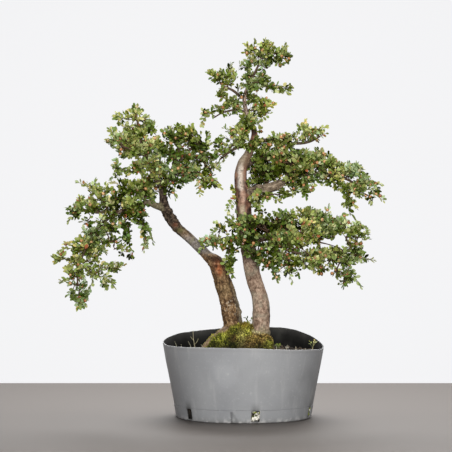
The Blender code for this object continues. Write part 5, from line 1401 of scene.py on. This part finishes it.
def in_gap(p):
    u, v = ruler(p)
    hit = np.zeros(len(p), bool)
    for gu, gv, gw, gh in GAPS:
        hit |= ((u - gu) / gw) ** 2 + ((v - gv) / gh) ** 2 < 1
    for gu, gv, gw, gh, deep in POCKETS:
        hit |= (((u - gu) / gw) ** 2 + ((v - gv) / gh) ** 2 < 1) & (p[:, 1] < deep / 1000.0)
    return hit


def clear_of_wood(p, margin=0.0015):
    """True where a place is outside the thick stems."""
    ok = np.ones(len(p), bool)
    for name in THICK:
        line = STEMS[name]
        line = line[::2]
        d = np.linalg.norm(p[:, None] - line[None, :, :3], axis=2) - line[None, :, 3]
        ok &= d.min(1) > margin
    return ok


LEAF_STOPS = [(0.0, (0.011, 0.016, 0.0006)), (0.2, (0.052, 0.077, 0.004)), (0.42, (0.137, 0.178, 0.032)),
              (0.62, (0.255, 0.294, 0.090)), (0.82, (0.402, 0.428, 0.188)), (1.0, (0.560, 0.580, 0.290))]


def leaf_mesh(name, leaves, rng):
    base, along, normal, length, width, tone = leaves.arrays()
    along = unit(along)
    side = unit(np.cross(normal, along))
    normal = np.cross(along, side)
    n = len(base)
    v = np.repeat(LEAF_V[None], n, 0)
    v = v * np.stack([length, length * width, length], 1)[:, None]
    v[..., 2] *= rng.uniform(0.7, 1.7, n)[:, None]
    p = (base[:, None] + v[..., :1] * along[:, None] + v[..., 1:2] * side[:, None] + v[..., 2:] * normal[:, None])
    faces = (LEAF_F[None] + (np.arange(n) * len(LEAF_V))[:, None, None]).reshape(-1, 3)
    top = ramp(LEAF_STOPS, np.clip(tone, 0, 1))
    odd = rng.uniform(size=n)
    top = top * (1 + 0.10 * rng.normal(size=(n, 3)) * np.array([1.0, 0.4, 0.8]))
    # broad drifts of yellower and bluer green, and the few limbs that lean to either
    lu, lv = ruler(base)
    drift = 1.5 * fbm(base * 30, 2, 66)
    for pu, pv, pw, ph, change in HUES:
        drift = drift + change * np.exp(-(((lu - pu) / pw) ** 2 + ((lv - pv) / ph) ** 2))
    drift = np.clip(drift, -1, 1)[:, None]
    top = top * (1 + drift * np.where(drift > 0, np.array([0.06, 0.02, -0.28]), np.array([0.16, 0.02, -0.30])))
    top = np.where((odd < 0.013)[:, None], np.array([0.31, 0.105, 0.045]), top)
    top = np.where(((odd > 0.013) & (odd < 0.020))[:, None], np.array([0.42, 0.30, 0.075]), top)
    grey = (top * 0.80 + np.array([0.062, 0.075, 0.027]) * np.clip(tone * 1.5, 0.12, 1.0)[:, None]) * rng.uniform(0.75, 1.15, n)[:, None]
    c = np.empty((n, len(LEAF_F), 3))
    c[:, :LEAF_TOP] = top[:, None]
    c[:, LEAF_TOP:] = grey[:, None]
    c[:, 0:2] *= 1.15
    # one half of each leaf is painted lighter or darker than the other: painted light and shade of the leaf's fold
    half = 1 + 0.10 * rng.uniform(-1, 1, n)
    c[:, [0, 2, 3, 6, 7, 10]] *= half[:, None, None]
    return build(name, p.reshape(-1, 3), faces, M_LEAF, face_colour=np.clip(c.reshape(-1, 3), 0, 1), angle=50)


BERRY_STOPS = [(0, (0.19, 0.062, 0.024)), (0.3, (0.34, 0.138, 0.048)), (0.65, (0.50, 0.255, 0.100)), (1, (0.64, 0.41, 0.20))]


def berry_shape():
    """A round pome with a dimpled, five-toothed calyx at its far end (+X)."""
    seg, rings = 10, 6
    v = []
    for k in range(1, rings):
        a = math.pi * k / rings
        for s in range(seg):
            b = 2 * math.pi * s / seg
            r = math.sin(a)
            x = -math.cos(a) * 1.06
            if k == rings - 1:
                r *= 0.9 + (0.10 if s % 2 else -0.16)
                x += 0.10 if s % 2 == 0 else 0.0
            v.append((x, r * math.cos(b), r * math.sin(b)))
    v += [(-1.04, 0, 0), (0.66, 0, 0)]
    f = []
    for k in range(rings - 2):
        for s in range(seg):
            a, b = k * seg + s, k * seg + (s + 1) % seg
            f += [(a, b, b + seg), (a, b + seg, a + seg)]
    south, north = len(v) - 2, len(v) - 1
    for s in range(seg):
        f.append(((s + 1) % seg, s, south))
        f.append(((rings - 2) * seg + s, (rings - 2) * seg + (s + 1) % seg, north))
    v = np.array(v)
    f = np.array(f)
    # faces point out
    c = v[f].mean(1)
    nrm = np.cross(v[f[:, 1]] - v[f[:, 0]], v[f[:, 2]] - v[f[:, 0]])
    if (np.einsum("ij,ij->i", nrm, c) < 0).mean() > 0.5:
        f = f[:, ::-1]
    return v, f, seg, rings


BERRY_V, BERRY_F, B_SEG, B_RINGS = berry_shape()


def berry_mesh(name, rows, rng):
    """rows: (centre, way out, radius)."""
    heap = Heap()
    c = np.array([r[0] for r in rows])
    d = unit(np.array([r[1] for r in rows]))
    size = np.array([r[2] for r in rows])
    e = unit(np.cross(d, rng.normal(size=d.shape)))
    f = np.cross(d, e)
    v = BERRY_V[None] * size[:, None, None]
    v = v[..., :1] * d[:, None] + v[..., 1:2] * e[:, None] + v[..., 2:] * f[:, None] + c[:, None]
    n = len(rows)
    tone = ramp(BERRY_STOPS, rng.beta(2.0, 1.7, n))
    col = np.repeat(tone[:, None], len(BERRY_V), 1)
    col[:, (B_RINGS - 2) * B_SEG:(B_RINGS - 1) * B_SEG] *= 0.45
    col[:, -1] = (0.03, 0.012, 0.008)
    col[:, :B_SEG] = mixed(col[:, :B_SEG], (0.70, 0.42, 0.20), np.full((n, B_SEG), 0.35))
    faces = (BERRY_F[None] + (np.arange(n) * len(BERRY_V))[:, None, None]).reshape(-1, 3)
    heap.add(v.reshape(-1, 3), faces, np.clip(col.reshape(-1, 3), 0, 1))
    for centre, way, r, stalk in rows:
        p = np.array([stalk, (stalk + centre) / 2 + 0.0004 * rng.normal(size=3), centre - unit(way) * r * 0.8])
        tv, tf = tube(p, np.array([0.00042, 0.00038, 0.00045]), 4)
        heap.add(tv, tf, (0.16, 0.10, 0.05))
    return heap.obj(name, M_BERRY)


class Twigs:
    """Branches that grow from a limb to the foot of every shoot, each from the nearest good wood."""

    def __init__(self, stems):
        self.p = np.zeros((60000, 3))
        self.d = np.zeros((60000, 3))
        self.parent = np.full(60000, -1)
        self.cap = np.full(60000, 9.0)
        self.n = 0
        for name in stems:
            line = STEMS[name]
            half = line[line[:, 3] < 0.0075][::2] if line[:, 3].min() < 0.0075 else line[-6:]
            t = unit(np.gradient(half[:, :3], axis=0))
            k = len(half)
            self.p[self.n:self.n + k] = half[:, :3]
            self.d[self.n:self.n + k] = t
            self.cap[self.n:self.n + k] = half[:, 3]
            self.n += k
        self.roots = self.n
        self.paths = []

    def grow(self, foot, way, rng, step=0.0065):
        v = foot - self.p[:self.n]
        dist = np.linalg.norm(v, axis=1)
        cos = np.einsum("ij,ij->i", v, self.d[:self.n]) / np.maximum(dist, 1e-6)
        cost = dist * (1.30 - 0.50 * cos) + 0.002 * (self.parent[:self.n] < 0)
        k = int(cost.argmin())
        p0, length = self.p[k], dist[k]
        if length < 0.0015:
            return k
        m0 = unit(self.d[k] * 0.45 + v[k] / length) * length * 0.9
        m1 = way * length * 0.7
        n = max(1, int(math.ceil(length / step)))
        last = k
        path = [k]
        for t in (np.arange(n) + 1) / n:
            h = ((2 * t ** 3 - 3 * t * t + 1) * p0 + (t ** 3 - 2 * t * t + t) * m0
                 + (-2 * t ** 3 + 3 * t * t) * foot + (t ** 3 - t * t) * m1)
            if t < 1:
                h = h + rng.normal(size=3) * 0.0007
            i = self.n
            self.p[i] = h
            self.d[i] = unit(h - self.p[last])
            self.parent[i] = last
            self.n += 1
            path.append(i)
            last = i
        self.paths.append(path)
        return last

    def sprout(self, foot, way):
        """A shoot that comes straight out of a thick stem."""
        i = self.n
        self.p[i], self.d[i], self.parent[i] = foot, way, 0
        self.n += 1
        return i

    def radii(self, tips):
        load = np.zeros(self.n)
        for i in tips:
            load[i] += 1
        for i in range(self.n - 1, self.roots - 1, -1):
            load[self.parent[i]] += load[i]
        r = 0.00046 * np.maximum(load, 1) ** 0.40
        return np.minimum(r, self.cap[:self.n] * 0.9)


def twig_tone(r, p):
    t = np.clip((r - 0.0005) / 0.0022, 0, 1)
    c = mixed(np.tile([0.062, 0.032, 0.018], (len(r), 1)), (0.080, 0.056, 0.036), t)
    return c * (1 + 0.35 * soft(p * 260, 3))[:, None]


TOTAL = {"leaves": 0, "berries": 0, "shoots": 0, "tris": 0}
CENTRE = {"left": np.array([-0.15, 0.0, 0.40]), "right": np.array([0.03, 0.0, 0.42])}


def make_pad(node, seed):
    rng = np.random.default_rng(seed)
    stems, blobs = PADS[node]
    label = node.replace("leaves_", "")
    c = points([b[:3] for b in blobs])
    r = np.array([(b[3] * STEP, b[5] / 1000.0, b[4] * STEP) for b in blobs])
    # the union's volume, by scattering
    lo, hi = (c - r).min(0), (c + r).max(0)
    probe = rng.uniform(lo, hi, (20000, 3))
    inside = np.zeros(len(probe), bool)
    for k in range(len(blobs)):
        inside |= (((probe - c[k]) / r[k]) ** 2).sum(1) < 1
    volume = inside.mean() * (hi - lo).prod() * 1e6
    per_shoot = 8.0
    n = int(volume * LEAVES_PER_CM3 / per_shoot)
    p, out, deep = ellipsoid_points(rng, blobs, n * 6, 0.0050)
    order = rng.permutation(len(p))
    chosen = []
    for i in order:
        if len(chosen) >= n:
            break
        if chosen and (np.linalg.norm(p[chosen] - p[i], axis=1) < 0.0042).any():
            continue
        chosen.append(i)
    p, out, deep = p[chosen], out[chosen], deep[chosen]
    keep = clear_of_wood(p, 0.002)
    p, out, deep = p[keep], out[keep], deep[keep]

    tree = Twigs(stems)
    limb = tree.p[:tree.roots]
    away = np.empty_like(p)
    gap = np.empty(len(p))
    for i in range(len(p)):
        d = np.linalg.norm(limb - p[i], axis=1)
        gap[i] = d.min()
        away[i] = (p[i] - limb[d.argmin()]) / max(d.min(), 1e-6)
    way = unit(0.75 * out + 0.45 * away + np.array([0, 0, 0.35]) + 0.55 * rng.normal(size=p.shape))

    leaves, berries, tips = Leaves(), [], []
    twigs = Heap()
    shoots = []
    for i in np.argsort(gap):
        length = rng.uniform(0.008, 0.0175) * (0.75 if deep[i] > 0.45 else 1.0)
        long = deep[i] < 0.30 and rng.uniform() < 0.22 and way[i][2] > -0.2      # a young shoot that stands out
        if long:
            length *= 1.25
        foot = p[i] - way[i] * length * (0.22 if long else 0.5)
        bend = unit(way[i] + 0.35 * rng.normal(size=3) + np.array([0, 0, 0.12]))
        tip = foot + bend * length
        mid = (foot + tip) / 2 + 0.0012 * rng.normal(size=3)
        shoots.append((np.array([foot, mid, tip]), way[i], deep[i], out[i], False))
    for rows in SPRIGS.get(node, []):
        q = points(rows)
        line = even(np.column_stack([q, np.zeros(len(q))]), 0.006)[:, :3]
        line[1:] += rng.normal(size=line[1:].shape) * 0.0006
        shoots.append((line, unit(line[1] - line[0]), 0.0, unit(line[-1] - line[0]), True))

    stem_rows = []
    for line, start, depth, outward, special in shoots:
        i = tree.grow(line[0], start, rng) if clear_of_wood(line[:1], 0)[0] else tree.sprout(line[0], start)
        tips.append(i)
        stem_rows.append((i, line))
        length = np.linalg.norm(np.diff(line, axis=0), axis=1).sum()
        seg = np.concatenate([[0], np.cumsum(np.linalg.norm(np.diff(line, axis=0), axis=1))])
        d_all = unit(line[-1] - line[0])
        up = unit(0.65 * outward + np.array([0, -0.05, 0.85]) + 0.55 * rng.normal(size=3))
        count = int(round(length / (0.0022 if not special else 0.0031))) + 3
        # leaves on the top of a mass are painted lighter: painted light from above; inner leaves darker: painted shade
        shoot_tone = 0.47 - 0.10 * special + GROWTH_AND_PAINTED_LIGHT.get(label, 0.0) + 0.13 * outward[2] - OLD_LEAVES_AND_PAINTED_SHADE.get(label, 0.60) * depth + 0.12 * rng.normal()
        su, sv = ruler(line[:1])
        for pu, pv, pw, ph, change in GROWTH_AND_SHADE_PATCHES:
            shoot_tone += change * math.exp(-(((su[0] - pu) / pw) ** 2 + ((sv[0] - pv) / ph) ** 2))
        sgn = 1 if rng.uniform() < 0.5 else -1
        for k in range(count):
            s = (k + 0.35) / count
            q = np.array([np.interp(s * length, seg, line[:, a]) for a in range(3)])
            j = min(len(line) - 2, int(np.searchsorted(seg, s * length, side="right")) - 1)
            d = unit(line[j + 1] - line[j])
            nrm = unit(up - d * (up @ d))
            lat = np.cross(d, nrm) * sgn
            sgn = -sgn
            spread = 0.95 - 0.55 * s
            along = unit(d * (0.55 + 0.5 * s) + lat * spread + nrm * 0.25 + 0.38 * rng.normal(size=3))
            face = unit(nrm + 0.62 * rng.normal(size=3) - along * 0.2)
            size = ((0.0100 if special else 0.0092) - 0.0024 * s * s) * rng.uniform(0.80, 1.14)
            if k == count - 1:
                along = unit(d + 0.25 * rng.normal(size=3))
                size *= 0.85
            leaves.add(q + along * 0.0009, along, face, size, shoot_tone + 0.14 * rng.normal() + 0.13 * s, rng.uniform(0.56, 0.74))
        # a spur rosette at the foot
        if rng.uniform() < 0.55:
            for _ in range(rng.integers(2, 4)):
                along = unit(outward * 0.5 + rng.normal(size=3))
                leaves.add(line[0] + along * 0.0012, along, unit(up + 0.7 * rng.normal(size=3)),
                           0.0072 * rng.uniform(0.8, 1.1), shoot_tone - 0.05 + 0.15 * rng.normal(), rng.uniform(0.6, 0.78))
        # berries sit along the shoots near the outside of the mass
        chance = 0.36 if depth < 0.34 else 0.09
        if special:
            chance = 0.26
        if rng.uniform() < chance:
            for _ in range(1 + int(rng.uniform() < 0.42)):
                s = rng.uniform(0.05, 0.7)
                q = np.array([np.interp(s * length, seg, line[:, a]) for a in range(3)])
                hang = unit(outward * 0.8 + up * 0.35 + 0.5 * rng.normal(size=3))
                berries.append((q + hang * rng.uniform(0.0026, 0.0040), hang, rng.uniform(0.0025, 0.0033), q))

    r = tree.radii(tips)
    for path in tree.paths:
        q = tree.p[path]
        rr = r[path].copy()
        rr[0] = min(rr[0], rr[1] * 1.35)
        q = np.vstack([q[:1] - unit(q[1] - q[0]) * min(0.0012, rr[0]), q])
        rr = np.concatenate([rr[:1], rr])
        k = 3 if rr[1] < 0.0006 else 4 if rr[1] < 0.0009 else 6
        v, f = tube(q, rr, k)
        twigs.add(v, f, twig_tone(np.concatenate([np.repeat(rr, k), [rr[0], rr[-1]]]), v))
    for i, line in stem_rows:
        rr = np.linspace(min(r[i], 0.00046), 0.00022, len(line))
        v, f = tube(line, rr, 3)
        twigs.add(v, f, twig_tone(np.concatenate([np.repeat(rr, 3), [rr[0], rr[-1]]]), v))
    # thin limbs that the trunk's skin leaves out
    for name in stems[:2]:
        line = STEMS[name]
        if name in used_limbs:
            continue
        used_limbs.add(name)
        thin = line[line[:, 3] < 0.0030]
        if len(thin) > 2:
            thin = even(thin[::3], 0.005) if len(thin) > 9 else thin
            v, f = tube(thin[:, :3], np.maximum(thin[:, 3] * 0.95, 0.0006), 8)
            twigs.add(v, f, twig_tone(np.concatenate([np.repeat(thin[:, 3], 8), [0.002, 0.001]]), v))

    base, along, normal, size, width, tone = leaves.arrays()
    middle = base + unit(along) * size[:, None] * 0.5
    ok = ~in_gap(middle) & clear_of_wood(middle, 0.0004)
    leaves.rows = [row for row, good in zip(leaves.rows, ok) if good]
    if berries:
        spots = np.array([b[0] for b in berries])
        ok = ~in_gap(spots) & clear_of_wood(spots, 0.003)
        berries = [b for b, good in zip(berries, ok) if good]
        # no two berries in one place
        kept = []
        for b in berries:
            if all(np.linalg.norm(b[0] - k[0]) > 0.0052 for k in kept):
                kept.append(b)
        berries = kept
    ob = leaf_mesh("foliage_" + label, leaves, rng)
    piece(ob, "leaf", node)
    tw = twigs.obj("twigs_" + label, M_TWIG)
    piece(tw, "bark", "tree_wood")
    if berries:
        bn = BERRY_NODE.get(label)
        bo = berry_mesh("berries_on_" + label, berries, rng)
        piece(bo, "berry", *([bn] if bn else []))
    TOTAL["leaves"] += len(leaves.rows)
    TOTAL["berries"] += len(berries)
    TOTAL["shoots"] += len(shoots)
    print("%-18s volume %6.1f shoots %4d leaves %5d berries %3d twig tris %6d" % (label, volume, len(shoots), len(leaves.rows), len(berries), twigs.count()))


BERRY_NODE = {k.replace("berries_", ""): k for k in frame["nodes"] if k.startswith("berries_")}
used_limbs = set()
for number, node in enumerate(PADS):
    make_pad(node, 100 + number)


# ================================================================== weeds
def make_weeds():
    rng = np.random.default_rng(77)
    ground = SOIL_TOP

    def stalk(heap, rows, r, colour):
        q = points(rows)
        line = even(np.column_stack([q, np.linspace(1.0, 0.55, len(q))]), 0.003)
        v, f = tube(line[:, :3], line[:, 3] * r, 5)
        heap.add(v, f, colour)

    left, right = Heap(), Heap()
    base_v = 226 + (EYE_Z - ground + 0.002) / STEP
    stalk(left, [(195.6, base_v, 6), (194.6, 346, 6), (193.4, 338, 6), (193.0, 330.6, 6)], 0.0006, (0.40, 0.36, 0.24))
    stalk(left, [(195.2, 344, 6), (197.4, 341, 4), (198.4, 338.6, 4)], 0.0004, (0.36, 0.33, 0.20))
    stalk(left, [(194.0, 341, 6), (191.6, 338, 8), (190.6, 336.6, 8)], 0.0004, (0.36, 0.33, 0.20))
    for rows in ([(178, base_v, -20), (176.4, 346, -22), (174.6, 341.4, -22)], [(191.6, base_v, -6), (190.6, 346, -6), (188.2, 341.4, -6)],
                 [(183, base_v, 4), (181.6, 347, 4), (181, 344.4, 4)], [(205, base_v, -46), (203, 347, -47), (201, 344.6, -47)]):
        stalk(left, rows, 0.00045, (0.42, 0.40, 0.28))
    piece(left.obj("dry_weeds_left", M_WEED), "dry_weed", "weed_tall_left")
    stalk(right, [(312.2, base_v, -10), (312.8, 347, -10), (313.6, 341, -10)], 0.00055, (0.40, 0.38, 0.18))
    stalk(right, [(313.0, 346, -10), (315.4, 343.4, -10)], 0.0004, (0.38, 0.38, 0.15))
    for rows in ([(296.6, base_v, -40), (296, 348.4, -41), (295.4, 346.6, -41)], [(277, base_v, -30), (276.4, 347, -31), (276, 345, -31)],
                 [(286, base_v, 10), (287, 346.4, 10), (287.4, 345, 10)]):
        stalk(right, rows, 0.0005, (0.44, 0.42, 0.30))
    piece(right.obj("dry_weeds_right", M_WEED), "dry_weed", "weed_right")

    # green seedlings: between the trunks, at the right, and beside the mound
    green, stems = Leaves(), Heap()
    def seedling(rows, leaf, tone):
        q = points(rows)
        line = even(np.column_stack([q, np.linspace(1.0, 0.5, len(q))]), 0.002)
        v, f = tube(line[:, :3], line[:, 3] * 0.00045, 5)
        stems.add(v, f, (0.10, 0.11, 0.05))
        for k, s in enumerate((0.55, 0.75, 0.95)):
            i = int(s * (len(line) - 1))
            d = unit(line[min(i + 1, len(line) - 1), :3] - line[max(i - 1, 0), :3])
            lat = np.cross(d, (0, -1, 0.2)) * (1 if k % 2 else -1)
            green.add(line[i, :3], unit(d + lat * 0.9), unit(np.array([0.1, -0.7, 0.7]) + 0.3 * rng.normal(size=3)), leaf, tone, 0.42)
    seedling([(245, 326, -6), (248.4, 321.6, -8), (252, 319, -9)], 0.0052, 0.35)
    seedling([(245, 325, -6), (247.4, 320, -8), (245.4, 317, -9)], 0.0058, 0.1)
    seedling([(312.6, 346, -10), (314.6, 342.6, -11), (315.4, 340.6, -11)], 0.0050, 0.85)
    seedling([(311.4, 347, -10), (310.6, 343.6, -11), (310.8, 341.4, -11)], 0.0046, 0.7)
    for _ in range(9):
        u, y = rng.uniform(274, 280), rng.uniform(-34, -20)
        seedling([(u, 349, y), (u + rng.normal() * 1.0, 346, y), (u + rng.normal() * 2.2, 344.4, y)], 0.0036, 0.42)
    piece(leaf_mesh("seedling_leaves", green, rng), "leaf")
    piece(stems.obj("seedling_stems", M_WEED), "dry_weed")


make_weeds()
print(TOTAL)
tris = 0
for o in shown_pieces():
    o.data.calc_loop_triangles()
    n = len(o.data.loop_triangles)
    tris += n
    if n > 60000:
        print("large piece", o.name, n)
print("triangles in all", tris)
